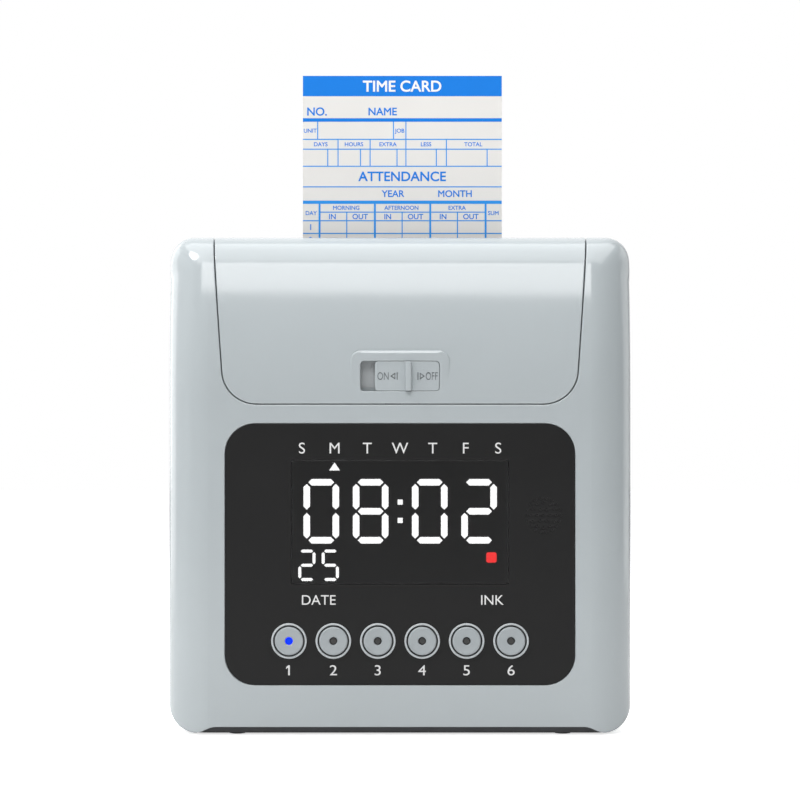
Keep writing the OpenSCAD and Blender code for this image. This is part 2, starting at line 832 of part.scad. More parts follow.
module front_panel() {
    color("#2d2d2d") difference() {
        soft_plate(panel_w, panel_h, panel_r, front_y, seat_y, 0, panel_mid_z);
        soft_plate(window_w, window_h, 1, front_y - past, seat_y + past, 0, window_z);
        for (i = [0 : button_count - 1])
            bar_y(2 * sleeve_r + 2 * run, front_y - past, seat_y + past, button_x(i), button_z);
        for (ring = grille_rings, k = [0 : ring[0] - 1])
            bar_y(grille_hole_d, front_y - past, seat_y + past,
                speaker_x + ring[1] * cos(360 * k / ring[0]),
                  speaker_z + ring[1] * sin(360 * k / ring[0]));
    }
}

module display_lens() {
    color("#26262880") soft_plate(window_w - 2 * slip, window_h - 2 * slip, 1, front_y, seat_y, 0,
        window_z);
}

module display_module() {
    color("#1b1b1d") soft_plate(window_w - 2 * lens_ledge - 2 * air,
        window_h - 2 * lens_ledge - 2 * air, 1, segment_y + segment_t, board_y, 0,
                                window_z);
}

// Segment display: bars lie on the module, just behind the lens
segment_t = 0.3;
segment_y = seat_y + segment_t;
segment_gap = 0.09;
digit_aspect = 0.555;
// Bars lit for each figure, clockwise from the top, then the middle
function bars_of(figure) = [[1, 1, 1, 1, 1, 1, 0], [0, 1, 1, 0, 0, 0, 0], [1, 1, 0, 1, 1, 0, 1],
    [1, 1, 1, 1, 0, 0, 1], [0, 1, 1, 0, 0, 1, 1], [1, 0, 1, 1, 0, 1, 1], [1, 0, 1, 1, 1, 1, 1],
    [1, 1, 1, 0, 0, 0, 0], [1, 1, 1, 1, 1, 1, 1],
    [1, 1, 1, 1, 0, 1, 1]][figure];

// One bar with pointed ends, centred, lying along its first axis
module bar_shape(length, thick) {
    flat = length / 2 - thick / 2;
    polygon([[-length / 2, 0], [-flat, thick / 2], [flat, thick / 2],
             [length / 2, 0], [flat, -thick / 2], [-flat, -thick / 2]]);
}

// One figure of the display, centred
module figure_shape(figure, h) {
    w = h * digit_aspect;
    thick = h * 0.109;
    col = w / 2 - thick / 2;
    row = h / 2 - thick / 2;
    across = 2 * col - thick * segment_gap * 4;
    down = row - thick * segment_gap * 4;
    lit = bars_of(figure);
    places = [[0, row, 0, across], [col, row / 2, 90, down], [col, -row / 2, 90, down],
              [0, -row, 0, across], [-col, -row / 2, 90, down], [-col, row / 2, 90, down],
              [0, 0, 0, across]];
    for (k = [0 : 6]) if (lit[k])
        translate([places[k][0], places[k][1]]) rotate(places[k][2]) bar_shape(places[k][3], thick);
}

// Places of the lit marks, from the middle of the window
time_figures = [0, 8, 0, 2];
time_rise = 4.35;
time_z = window_z + time_rise;
time_x = 0.075;
time_pitch = 20.25;
colon_room = 4;
colon_size = 2.3;
colon_rise = 3.75;
day_figures = [2, 5];
day_drop = 17.8;
day_z = window_z - day_drop;
day_x = -33.4;
day_pitch = 9.6;
day_mark_x = -26.85;
day_mark_rise = 21;
day_mark_z = window_z + day_mark_rise;
day_mark_w = 4.8;
day_mark_h = 3.5;

module lit_segments() {
    color("white") along_y(segment_y, segment_y + segment_t) {
        for (k = [0 : 3])
            translate([time_x + (k - 1.5) * time_pitch + sign(k - 1.5) * colon_room / 2, time_z])
                figure_shape(time_figures[k], digit_h);
        for (s = [-1, 1])
            translate([time_x, time_z + s * colon_rise]) square(colon_size, center = true);
        for (k = [0, 1])
            translate([day_x + (k - 0.5) * day_pitch, day_z]) figure_shape(day_figures[k], day_h);
        polygon([[day_mark_x - day_mark_w / 2, day_mark_z], [day_mark_x + day_mark_w / 2, day_mark_z],
                 [day_mark_x, day_mark_z + day_mark_h]]);
    }
}

colour_lamp_x = 37.5;
colour_lamp_drop = 14.6;
colour_lamp_z = window_z - colour_lamp_drop;
colour_lamp_size = 4.2;
module ribbon_colour_lamp() {
    color("red") soft_plate(colour_lamp_size, colour_lamp_size, 0.8, segment_y, segment_y + segment_t,
                            colour_lamp_x, colour_lamp_z);
}

module front_board() {
    color("#1f5a3a") difference() {
        soft_plate(front_board_w, front_board_h, 2, board_y, board_y + board_t, 0, panel_mid_z);
        for (sx = [-1, 1], sz = [-1, 1])
            bar_y(board_screw_d + 2 * slip, board_y - past, board_y + board_t + past,
                sx * front_board_post_x,
                  panel_mid_z + sz * front_board_post_z);
    }
}

module button_rings() {
    color("#c9cdd0") for (i = [0 : button_count - 1]) difference() {
        union() {
            bar_y(ring_d, front_y - ring_proud, front_y, button_x(i), button_z);
            bar_y(2 * sleeve_r, front_y - ring_proud, seat_y, button_x(i), button_z);
        }
        bar_y(2 * ring_bore_r, front_y - ring_proud - past, seat_y + past, button_x(i), button_z);
    }
}

module button(i) {
    color("#aab0b3") difference() {
        union() {
            bar_y(cap_d, cap_front_y, flange_y + flange_t, button_x(i), button_z);
            bar_y(cap_d + 2 * flange_w, flange_y, flange_y + flange_t, button_x(i), button_z);
        }
        bar_y(led_d + 2 * led_air, cap_front_y - past, flange_y + flange_t + past, button_x(i), button_z);
    }
}

// Rubber mat on the board with one dome under each button
mat_t = 1;
dome_d = 9;
mat_margin = 3;
module keypad_mat() {
    mat_w = (button_count - 1) * button_pitch + dome_d + 2 * mat_margin;
    color("#5a5d60") difference() {
        union() {
            soft_plate(mat_w, dome_d + 2 * mat_margin, 2, board_y - mat_t, board_y, 0, button_z);
            for (i = [0 : button_count - 1])
                bar_y(dome_d, flange_y + flange_t, board_y - mat_t / 2, button_x(i), button_z);
        }
        for (i = [0 : button_count - 1])
            bar_y(led_d + 4 * led_air, flange_y, board_y + past, button_x(i), button_z);
    }
}

module indicator_led(i) {
    bar_y(led_d, cap_front_y + button_travel, board_y, button_x(i), button_z);
}
module indicator_led_lit() {
    color("#1040ff") indicator_led(0);
}
module indicator_leds_dark() {
    color("#3a3c3e") for (i = [1 : button_count - 1]) indicator_led(i);
}

module speaker() {
    color("#202224") union() {
        bar_y(speaker_d, backing_y, backing_y + speaker_t / 2, speaker_x, speaker_z);
        bar_y(speaker_d * 0.55, backing_y, backing_y + speaker_t, speaker_x, speaker_z);
    }
}

// Small screws of both boards
module board_screws() {
    color("#b0b2b4") {
        for (sx = [-1, 1], sz = [-1, 1]) {
            translate([sx * front_board_post_x, board_y + board_t + screw_head_t,
                panel_mid_z + sz * front_board_post_z])
                rotate([90, 0, 0]) screw(board_screw_d, board_t + 3, board_screw_head_d, screw_head_t);
            translate([sx * main_post_x, main_board_y - screw_head_t, main_board_z + sz * main_post_z])
                rotate([-90, 0, 0]) screw(board_screw_d, board_t + 5, board_screw_head_d, screw_head_t);
        }
    }
}

module time_card() {
    color("#ecebe6") span([card_x - card_w / 2, card_x + card_w / 2],
        [card_y - card_t / 2, card_y + card_t / 2],
                          [card_z0, case_h + card_out]);
}

// Funnel that lines the card slot and hangs in the top of the rear shell
module card_throat() {
    outer_w = slot_w + 2 * throat_wall;
    outer_t = slot_t + 2 * throat_wall;
    color("#34373a") difference() {
        union() {
            soft_plate_z(outer_w, outer_t, case_h - throat_drop, case_h + throat_flange_t);
            soft_plate_z(outer_w + 2 * throat_flange, outer_t + throat_flange, case_h,
                case_h + throat_flange_t);
        }
        soft_plate_z(slot_w, slot_t, case_h - throat_drop - past, case_h + throat_flange_t + past);
    }
}

// Openings in the card guides for the rollers
module roller_windows(y0, y1, d) {
    for (s = [-1, 1])
        span([s * roller_x - roller_window_w / 2, s * roller_x + roller_window_w / 2],
            [y0 - past, y1 + past],
             [feed_z - d / 2 - air, feed_z + d / 2 + air]);
}

module front_card_guide() {
    top = carriage_z1 - 4;
    color("#a7abae") difference() {
        span([-bay_w / 2, bay_w / 2], [front_guide_y, front_guide_y + guide_t], [guide_low_z, top]);
        roller_windows(front_guide_y, front_guide_y + guide_t, feed_roller_d);
    }
}

module rear_card_guide() {
    color("#a7abae") difference() {
        union() {
            span([-bay_w / 2, bay_w / 2], [rear_guide_y, rear_guide_y + guide_t],
                [guide_low_z, guide_top_z]);
            span([-bay_w / 2, bay_w / 2], [front_guide_y + guide_t + air, rear_guide_y + guide_t],
                 [guide_low_z, guide_low_z + guide_t]);
        }
        roller_windows(rear_guide_y, rear_guide_y + guide_t, pinch_roller_d);
        span([-platen_w / 2 - air, platen_w / 2 + air],
            [rear_guide_y - past, rear_guide_y + guide_t + past],
             [print_z - platen_h / 2 - air, print_z + platen_h / 2 + air]);
    }
}

// Hard bar behind the card at the print line, carried by two thin ends in the side frames
module platen() {
    color("#25272a") union() {
        span([-platen_w / 2, platen_w / 2], [rear_guide_y, rear_guide_y + platen_t],
             [print_z - platen_h / 2, print_z + platen_h / 2]);
        span([-bay_w / 2, bay_w / 2], [rear_guide_y + guide_t + air, rear_guide_y + platen_t],
             [print_z - platen_h / 4, print_z + platen_h / 4]);
    }
}

// Side plate of the printer with its foot bent outwards, drawn for the right side
module side_frame() {
    x0 = bay_w / 2;
    difference() {
        union() {
            along_x(x0, x0 + frame_t)
                polygon([[frame_y0 + frame_step, frame_foot_z], [frame_y1, frame_foot_z],
                         [frame_y1, frame_top_z], [frame_y0 + frame_chamfer, frame_top_z],
                         [frame_y0, frame_top_z - frame_chamfer], [frame_y0, cradle_z - frame_waist],
                         [frame_y0 + frame_step, cradle_z - frame_waist - frame_step]]);
            span([x0, x0 + frame_t + frame_foot_w], [frame_y0 + frame_step, frame_y1],
                [frame_foot_z, frame_foot_z + frame_t]);
        }
        for (y = [rod_y, rod_y - rod_gap]) bar_x(rod_d + 2 * run, x0 - past, x0 + frame_t + past, y,
            rod_z);
        bar_x(feed_shaft_d + 2 * run, x0 - past, x0 + frame_t + past, feed_y, feed_z);
        bar_x(pinch_shaft_d + 2 * run, x0 - past, x0 + frame_t + past, pinch_y, feed_z);
        bar_x(cradle_pin_d, x0 - past, x0 + frame_t + past, cradle_pivot_y, cradle_pivot_z);
        for (y = [frame_y0 + frame_screw_in, frame_y1 - frame_screw_in])
            bar_z(screw_d + 2 * slip, frame_foot_z - past, frame_foot_z + frame_t + past,
                  x0 + frame_t + frame_foot_w / 2, y);
    }
}
module side_frame_left() {
    color("#c3c6c8") mirror([1, 0, 0]) side_frame();
}
module side_frame_right() {
    color("#c3c6c8") difference() {
        side_frame();
        bar_x(feed_motor_shaft_d + 2 * air, bay_w / 2 - past, bay_w / 2 + frame_t + past, feed_motor_y,
            feed_motor_z);
    }
}

// Plate between the side frames that carries the carriage drive
module printer_bed() {
    y0 = belt_y - carriage_motor_d / 2 - bed_front;
    y1 = belt_y + carriage_motor_d / 2 - bed_back;
    color("#b5b8ba") difference() {
        union() {
            span([-bay_w / 2, bay_w / 2], [y0, y1], [bed_z, bed_z + bed_t]);
            idler_post();
        }
        bar_z(pulley_shaft_d + 2 * air, bed_z - past, bed_z + bed_t + past, -pulley_x, belt_y);
    }
}

module carriage_rods() {
    reach = bay_w / 2 + frame_t;
    color("#d5d7d9") for (y = [rod_y, rod_y - rod_gap]) bar_x(rod_d, -reach, reach, y, rod_z);
}

module carriage() {
    y0 = rod_y - rod_gap - carriage_margin;
    y1 = rod_y + carriage_margin;
    clamp_y = belt_y + pulley_r;
    color("#2b2d30") difference() {
        union() {
            span([-carriage_w / 2, carriage_w / 2], [y0, y1], [carriage_z0, carriage_z1]);
            span([-clamp_w / 2, clamp_w / 2], [clamp_y - 2, clamp_y + belt_t + 3],
                 [belt_z - 1, carriage_z0 + past]);
        }
        for (y = [rod_y, rod_y - rod_gap])
            bar_x(rod_d + 2 * run, -carriage_w, carriage_w, y, rod_z);
        span([-carriage_w, carriage_w], [clamp_y - air, clamp_y + belt_t + air],
            [belt_z - past - air, belt_z + belt_h + air]);
    }
}

// Impact print head: finned body on the carriage and a narrow nose towards the card
fin_count = 5;
fin_pitch = 3.2;
fin_t = 1.4;
fin_h = 7;
head_back = 10;
module print_head() {
    y0 = rod_y - head_back;
    top = print_z + head_above;
    color("#4a4d51") union() {
        span([-head_w / 2, head_w / 2], [y0, head_y1], [carriage_z1, top]);
        along_y(head_y1 - past, nose_y)
            polygon([[-nose_low_w / 2, print_z - nose_below], [nose_low_w / 2, print_z - nose_below],
                     [nose_top_w / 2, print_z + nose_above], [-nose_top_w / 2, print_z + nose_above]]);
        for (k = [0 : fin_count - 1])
            span([-head_w / 2, head_w / 2], [y0 + k * fin_pitch, y0 + k * fin_pitch + fin_t],
                 [top - past, top - past + fin_h]);
    }
}

// Outline of the belt's inner face round both pulleys
module belt_loop(r) {
    for (s = [-1, 1]) translate([s * pulley_x, belt_y]) circle(r = r);
    translate([-pulley_x, belt_y - r]) square([2 * pulley_x, 2 * r]);
}
module carriage_belt() {
    color("#1c1c1c") difference() {
        along_z(belt_z, belt_z + belt_h) belt_loop(pulley_r + run + belt_t);
        along_z(belt_z - past, belt_z + belt_h + past) belt_loop(pulley_r + run);
    }
}

module carriage_motor() {
    color("#8d9194") bar_z(carriage_motor_d, bed_z - motor_h, bed_z, -pulley_x, belt_y);
}

// Flanged belt pulley, drawn about its own axis
module pulley(bore_d) {
    difference() {
        union() {
            cylinder(r = pulley_r, h = belt_h);
            for (z = [-pulley_flange_t - air / 2, belt_h + air / 2])
                translate([0, 0, z]) cylinder(r = pulley_r + pulley_flange, h = pulley_flange_t);
            translate([0, 0, -air]) cylinder(r = pulley_r - 1, h = belt_h + 2 * air);
        }
        translate([0, 0, -past - pulley_flange_t]) cylinder(d = bore_d,
            h = belt_h + 2 * (past + pulley_flange_t));
    }
}
module drive_pulley() {
    color("#d8d4c4") translate([-pulley_x, belt_y, belt_z]) union() {
        pulley(pulley_shaft_d);
        translate([0, 0, bed_z - belt_z]) cylinder(d = pulley_shaft_d, h = belt_z - bed_z + belt_h);
    }
}
// Post riveted to the bed, with a shoulder under the idler pulley
module idler_post() {
    bar_z(pulley_shaft_d, bed_z + bed_t / 2, belt_z + belt_h + idler_head, pulley_x, belt_y);
    bar_z(pulley_shaft_d + idler_shoulder, bed_z + bed_t / 2, belt_z - pulley_flange_t - air, pulley_x,
        belt_y);
}
module idler_pulley() {
    color("#d8d4c4") translate([pulley_x, belt_y, belt_z]) pulley(pulley_shaft_d + 2 * run);
}

module ribbon_cradle() {
    half = cradle_w / 2;
    color("#9ea2a5") difference() {
        union() {
            span([-half, half], [cradle_y0, cradle_y1], [cradle_z, cradle_z + cradle_t]);
            both_sides() span([half - cradle_t, half], [cradle_y0, cradle_y1],
                [cradle_z, cradle_z + cradle_ear_h]);
        }
        both_sides() bar_x(cradle_pin_d + 2 * run, half - cradle_t - past, half + past, cradle_pivot_y,
            cradle_pivot_z);
    }
}
module cradle_pins() {
    inner = cradle_w / 2 - cradle_t - 0.1;
    color("#d5d7d9") both_sides() bar_x(cradle_pin_d, inner, bay_w / 2 + frame_t, cradle_pivot_y,
        cradle_pivot_z);
}

module ribbon_cartridge() {
    half = cartridge_w / 2;
    color("#2a2c2f") difference() {
        union() {
            soft_plate_xy(half, cradle_y0 + cartridge_in, cradle_y1 - cartridge_in, cartridge_z,
                          cartridge_z + cartridge_h);
            both_sides() span([arm_x, arm_x + arm_w], [cradle_y1 - arm_root, ribbon_y + arm_tip],
                              [arm_z, arm_z + arm_h]);
        }
        both_sides() span([arm_x - past, arm_x + arm_w / 2], [ribbon_y - ribbon_t - air,
                          ribbon_y + air], [arm_z - past, arm_z + arm_h + past]);
        bar_z(knob_stem_d + 2 * run, cartridge_z + cartridge_h - knob_stem_l - slip,
            cartridge_z + cartridge_h + past, knob_x,
              knob_y);
        both_sides() bar_x(cradle_pin_d + 1, half - 1, half + past, cradle_pivot_y, cradle_pivot_z);
    }
}
// Cartridge body with rounded upright edges
module soft_plate_xy(half, y0, y1, z0, z1) {
    along_z(z0, z1) polygon(soft_rect(-half, half, y0, y1, 3, 1));
}

module ink_ribbon() {
    reach = arm_x + arm_w / 2;
    color("#16161a") span([-reach, reach], [ribbon_y - ribbon_t, ribbon_y],
        [print_z - ribbon_h / 2, print_z + ribbon_h / 2]);
}

module ribbon_knob() {
    color("#3a6ea5") translate([knob_x, knob_y, cartridge_z + cartridge_h]) union() {
        translate([0, 0, -knob_stem_l]) cylinder(d = knob_stem_d, h = knob_stem_l + past);
        translate([0, 0, slip]) linear_extrude(knob_h) knob_outline();
    }
}

// Ribbed outline of the knob: each rib rises to the full diameter and falls back
module knob_outline() {
    polygon([for (k = [0 : knob_ribs - 1], s = [0 : 3])
        let (a = 360 * (k + s / 4) / knob_ribs, r = knob_d / 2 - (s < 2 ? 0 : knob_groove))
            [r * cos(a), r * sin(a)]]);
}

// Outline of an involute gear with a tooth centred on its first axis
module gear_outline(teeth) {
    pitch_r = gear_module * teeth / 2;
    base_r = pitch_r * cos(pressure_angle);
    root_r = pitch_r - 1.25 * gear_module;
    tip_r = pitch_r + gear_module;
    unwind = sqrt(tip_r * tip_r / (base_r * base_r) - 1);
    first = root_r > base_r ? sqrt(root_r * root_r / (base_r * base_r) - 1) : 0;
    flank = 90 / teeth - backlash / 4 / pitch_r * 180 / PI
            + (tan(pressure_angle) - pressure_angle * PI / 180) * 180 / PI;
    steps = 5;
    // Radius and angle of points along one flank, from the root to the tip
    side = concat(root_r < base_r ? [[root_r, flank]] : [],
        [for (k = [0 : steps]) let (t = first + (unwind - first) * k / steps)
            [base_r * sqrt(1 + t * t), flank - (t - atan(t) * PI / 180) * 180 / PI]]);
    last = len(side) - 1;
    polygon([for (tooth = [0 : teeth - 1], k = [0 : 2 * last + 1])
        let (p = k <= last ? side[k] : side[2 * last + 1 - k], s = k <= last ? -1 : 1,
             a = 360 * tooth / teeth + s * p[1]) [p[0] * cos(a), p[0] * sin(a)]]);
}

module feed_shaft() {
    color("#d5d7d9") bar_x(feed_shaft_d, feed_shaft_x0, feed_shaft_x1, feed_y, feed_z);
}
module feed_rollers() {
    color("#232323") for (s = [-1, 1]) difference() {
        bar_x(feed_roller_d, s * roller_x - roller_w / 2, s * roller_x + roller_w / 2, feed_y, feed_z);
        bar_x(feed_shaft_d, s * roller_x - roller_w, s * roller_x + roller_w, feed_y, feed_z);
    }
}
module feed_gear() {
    color("#e4e0d2") difference() {
        along_x(gear_x, gear_x + gear_w) translate([feed_y, feed_z])
            rotate(gear_angle) gear_outline(gear_teeth);
        bar_x(feed_shaft_d, gear_x - past, gear_x + gear_w + past, feed_y, feed_z);
    }
}
module feed_motor() {
    color("#8d9194") difference() {
        bar_x(feed_motor_d, bay_w / 2 - feed_motor_l, bay_w / 2, feed_motor_y, feed_motor_z);
        bar_x(feed_motor_shaft_d + 2 * run, bay_w / 2 - 6, bay_w / 2 + past, feed_motor_y, feed_motor_z);
    }
}
module motor_pinion() {
    color("#c9a24a") union() {
        along_x(gear_x - slip, gear_x + gear_w + slip) translate([feed_motor_y, feed_motor_z])
            rotate(gear_angle + 180 + 180 / pinion_teeth) gear_outline(pinion_teeth);
        bar_x(feed_motor_shaft_d, bay_w / 2 - 5, gear_x + gear_w + 1, feed_motor_y, feed_motor_z);
    }
}
module pinch_shaft() {
    reach = bay_w / 2 + frame_t + air;
    color("#d5d7d9") bar_x(pinch_shaft_d, -reach, reach, pinch_y, feed_z);
}
module pinch_rollers() {
    color("#ddd9cc") for (s = [-1, 1]) difference() {
        bar_x(pinch_roller_d, s * roller_x - roller_w / 2, s * roller_x + roller_w / 2, pinch_y, feed_z);
        bar_x(pinch_shaft_d, s * roller_x - roller_w, s * roller_x + roller_w, pinch_y, feed_z);
    }
}

module main_board() {
    color("#1f5a3a") difference() {
        soft_plate(main_board_w, main_board_h, 2, main_board_y, main_board_y + board_t, 0, main_board_z);
        for (sx = [-1, 1], sz = [-1, 1])
            bar_y(board_screw_d + 2 * slip, main_board_y - past, main_board_y + board_t + past,
                sx * main_post_x,
                  main_board_z + sz * main_post_z);
    }
}

// Parts soldered to the main board: capacitors, chips and plug headers
capacitor_l = 14;
capacitors = [[-44, -34, 10], [-30, -34, 10], [-44, -18, 8]];
chip_t = 3;
chips = [[0, 6, 24, 9], [0, -14, 16, 16], [30, 22, 20, 8]];
header_size = [6, 8, 14];
header_x = 49;
header_places = [-23, -3, 17];
module board_components() {
    y = main_board_y;
    color("#20242a") {
        for (p = capacitors) bar_y(p[2], y - capacitor_l, y, p[0], main_board_z + p[1]);
        for (p = chips)
            span([p[0] - p[2] / 2, p[0] + p[2] / 2], [y - chip_t, y],
                 [main_board_z + p[1] - p[3] / 2, main_board_z + p[1] + p[3] / 2]);
        for (dz = header_places)
            span([header_x - header_size[0] / 2, header_x + header_size[0] / 2], [y - header_size[1],
                 y], [main_board_z + dz - header_size[2] / 2, main_board_z + dz + header_size[2] / 2]);
    }
}

module power_jack() {
    inner_y = rear_y - wall;
    color("#17181a") difference() {
        union() {
            span([jack_x - jack_body[0] / 2, jack_x + jack_body[0] / 2],
                [inner_y - jack_body[1], inner_y],
                 [jack_z - jack_body[2] / 2, jack_z + jack_body[2] / 2]);
            bar_y(jack_d, inner_y - past, rear_y - 0.3, jack_x, jack_z);
        }
        difference() {
            bar_y(jack_bore_d, rear_y - jack_depth, rear_y + past, jack_x, jack_z);
            bar_y(jack_pin_d, rear_y - jack_depth - past, rear_y - 2, jack_x, jack_z);
        }
    }
}

// Laminated core on the base plate with its winding
core_size = [48, 18, 34];
coil_size = [30, 30, 22];
coil_lift = 6;
transformer_x = -14;
module power_transformer() {
    y = (frame_y0 + front_guide_y) / 2;
    color("#6d7073") union() {
        translate([transformer_x - core_size[0] / 2, y - core_size[1] / 2, base_top]) cube(core_size);
        translate([transformer_x - coil_size[0] / 2, y - coil_size[1] / 2, base_top + coil_lift])
            cube(coil_size);
    }
}

// Backup cells, lying side by side in a tray on the base plate
cell_d = 10.4;
cell_l = 30;
cell_count = 3;
cell_x0 = 22;
function cell_x(i) = cell_x0 + i * (cell_d + slip);
cell_y = frame_y0 + 20;
module backup_battery() {
    color("#3f7f4f") for (i = [0 : cell_count - 1])
        bar_y(cell_d, cell_y - cell_l / 2, cell_y + cell_l / 2, cell_x(i), base_top + slip + cell_d / 2);
}
module battery_tray() {
    for (s = [-1, 1])
        span([cell_x(0) - cell_d / 2, cell_x(cell_count - 1) + cell_d / 2],
             [cell_y + s * (cell_l / 2 + slip + 1) - 1, cell_y + s * (cell_l / 2 + slip + 1) + 1],
             [base_top - past, base_top + cell_d / 2]);
}

// Screws of the base, of the two shells and of the printer's side frames
module case_screws() {
    color("#6f7276") {
        for (p = base_screw_places())
            translate([p[0], p[1], base_z + slip / 2]) screw(screw_d, base_screw_l - 3, screw_head_d,
                screw_head_t);
        for (sx = [-1, 1])
            translate([sx * corner_post_x, corner_head_y + screw_head_t, corner_post_z])
                rotate([90, 0, 0]) screw(screw_d, corner_screw_l - 2, screw_head_d, screw_head_t);
        for (p = frame_screw_places())
            translate([p[0], p[1], frame_foot_z + frame_t + screw_head_t]) rotate([180, 0, 0])
                screw(screw_d, frame_t + 5, screw_head_d, screw_head_t);
    }
}

front_housing();
rear_housing();
base_plate();
rubber_feet();
top_cover();
hinge_pins();
latch_slider();
latch_retainer();
catch_spring();
front_panel();
display_lens();
display_module();
lit_segments();
ribbon_colour_lamp();
front_board();
button_rings();
for (i = [0 : button_count - 1]) button(i);
keypad_mat();
indicator_led_lit();
indicator_leds_dark();
speaker();
board_screws();
time_card();
card_throat();
front_card_guide();
rear_card_guide();
platen();
side_frame_left();
side_frame_right();
printer_bed();
carriage_rods();
carriage();
print_head();
carriage_belt();
carriage_motor();
drive_pulley();
idler_pulley();
ribbon_cradle();
cradle_pins();
ribbon_cartridge();
ink_ribbon();
ribbon_knob();
feed_shaft();
feed_rollers();
feed_gear();
feed_motor();
motor_pinion();
pinch_shaft();
pinch_rollers();
main_board();
board_components();
power_jack();
power_transformer();
backup_battery();
case_screws();
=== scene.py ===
"""Dresses a punch-card time clock: shells, cover, panel, buttons, card, mechanism, stage and camera."""
import json
import math

import bmesh
import bpy
from mathutils import Euler, Matrix, Vector

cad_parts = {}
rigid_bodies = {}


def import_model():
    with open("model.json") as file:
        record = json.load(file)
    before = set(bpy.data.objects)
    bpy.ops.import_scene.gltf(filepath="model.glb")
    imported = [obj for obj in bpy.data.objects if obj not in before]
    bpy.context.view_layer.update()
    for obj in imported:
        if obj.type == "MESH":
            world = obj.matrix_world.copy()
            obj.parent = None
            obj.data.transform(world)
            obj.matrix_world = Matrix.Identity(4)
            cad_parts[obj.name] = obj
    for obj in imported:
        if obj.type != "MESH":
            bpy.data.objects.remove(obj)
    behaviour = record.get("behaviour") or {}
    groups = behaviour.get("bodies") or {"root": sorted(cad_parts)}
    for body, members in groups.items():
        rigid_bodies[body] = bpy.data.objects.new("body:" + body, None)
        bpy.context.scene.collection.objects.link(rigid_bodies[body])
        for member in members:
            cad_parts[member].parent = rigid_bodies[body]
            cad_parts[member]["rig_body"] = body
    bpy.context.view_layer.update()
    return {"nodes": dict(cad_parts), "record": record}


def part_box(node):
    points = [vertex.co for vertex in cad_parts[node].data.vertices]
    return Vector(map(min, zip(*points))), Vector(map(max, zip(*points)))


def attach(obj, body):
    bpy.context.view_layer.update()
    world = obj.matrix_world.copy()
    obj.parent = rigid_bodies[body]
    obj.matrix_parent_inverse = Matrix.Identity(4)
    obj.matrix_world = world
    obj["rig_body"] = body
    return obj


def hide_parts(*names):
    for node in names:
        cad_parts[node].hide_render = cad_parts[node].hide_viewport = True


bl_info = {
    "name": "Time clock dressing",
    "version": (1, 0, 0),
    "blender": (4, 5, 0),
    "location": "3D View > Sidebar > Time clock",
    "description": "Builds the visible pieces of a punch-card time clock round its packed frame",
    "category": "Object",
}

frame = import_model()
mm = 0.001


def box_middle(node):
    """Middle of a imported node's box."""
    low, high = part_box(node)
    return (low + high) / 2


# Planes of the case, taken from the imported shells
front_low, front_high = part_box("front_housing")
rear_low, rear_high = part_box("rear_housing")
half_width = front_high.x
front_y = front_low.y
rear_y = rear_high.y
base_z = front_low.z
top_z = front_high.z
front_end_y = front_high.y
rear_start_y = rear_low.y

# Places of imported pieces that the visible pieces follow
panel_low, panel_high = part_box("front_panel")
lens_low, lens_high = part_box("display_lens")
card_low, card_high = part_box("time_card")
throat_low, throat_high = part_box("card_throat")
slider_low, slider_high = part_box("latch_slider")
ring_low, ring_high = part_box("button_rings")
button_names = ["button_%d" % number for number in range(1, 7)]
button_middles = [box_middle(name) for name in button_names]
speaker_middle = box_middle("speaker")
hinge_middle = box_middle("hinge_pins")

# Screws and the posts that take them
post_radius = 4 * mm
post_inset = 3.5 * mm
post_drop = 12 * mm
base_post_inset = 6 * mm
base_post_low = 3.8 * mm
base_post_high = 17.8 * mm
board_inset = 5 * mm
screw_hole = 2.75 * mm
screw_head = 1.6 * mm

# Holes in front of the speaker: how many stand on each ring, and the radius of the ring
grille_rings = ((1, 0.0), (6, 2.6 * mm), (12, 5.2 * mm), (18, 7.0 * mm))
grille_hole = 0.55 * mm

# Rounding where the shells meet, distance at which points merge, and angle in degrees that stays smooth
parting_round = 0.35 * mm
merge_gap = 0.0005 * mm
smooth_angle = 34

slot_of = {row["node"]: row["material_slot"] for row in frame["record"]["subparts"]}
finishes = {}


def length(label, text, size):
    """Property for a size, written in millimetres and kept in metres."""
    return bpy.props.FloatProperty(name=label, description=text, default=size * mm, unit="LENGTH")


def tint(label, text, rgb):
    """Property for a colour."""
    return bpy.props.FloatVectorProperty(name=label, description=text, default=rgb, subtype="COLOR",
                                         size=3, min=0.0, max=1.0)


def power(label, text, watts):
    """Property for the power of a light."""
    return bpy.props.FloatProperty(name=label, description=text, default=watts, unit="POWER")


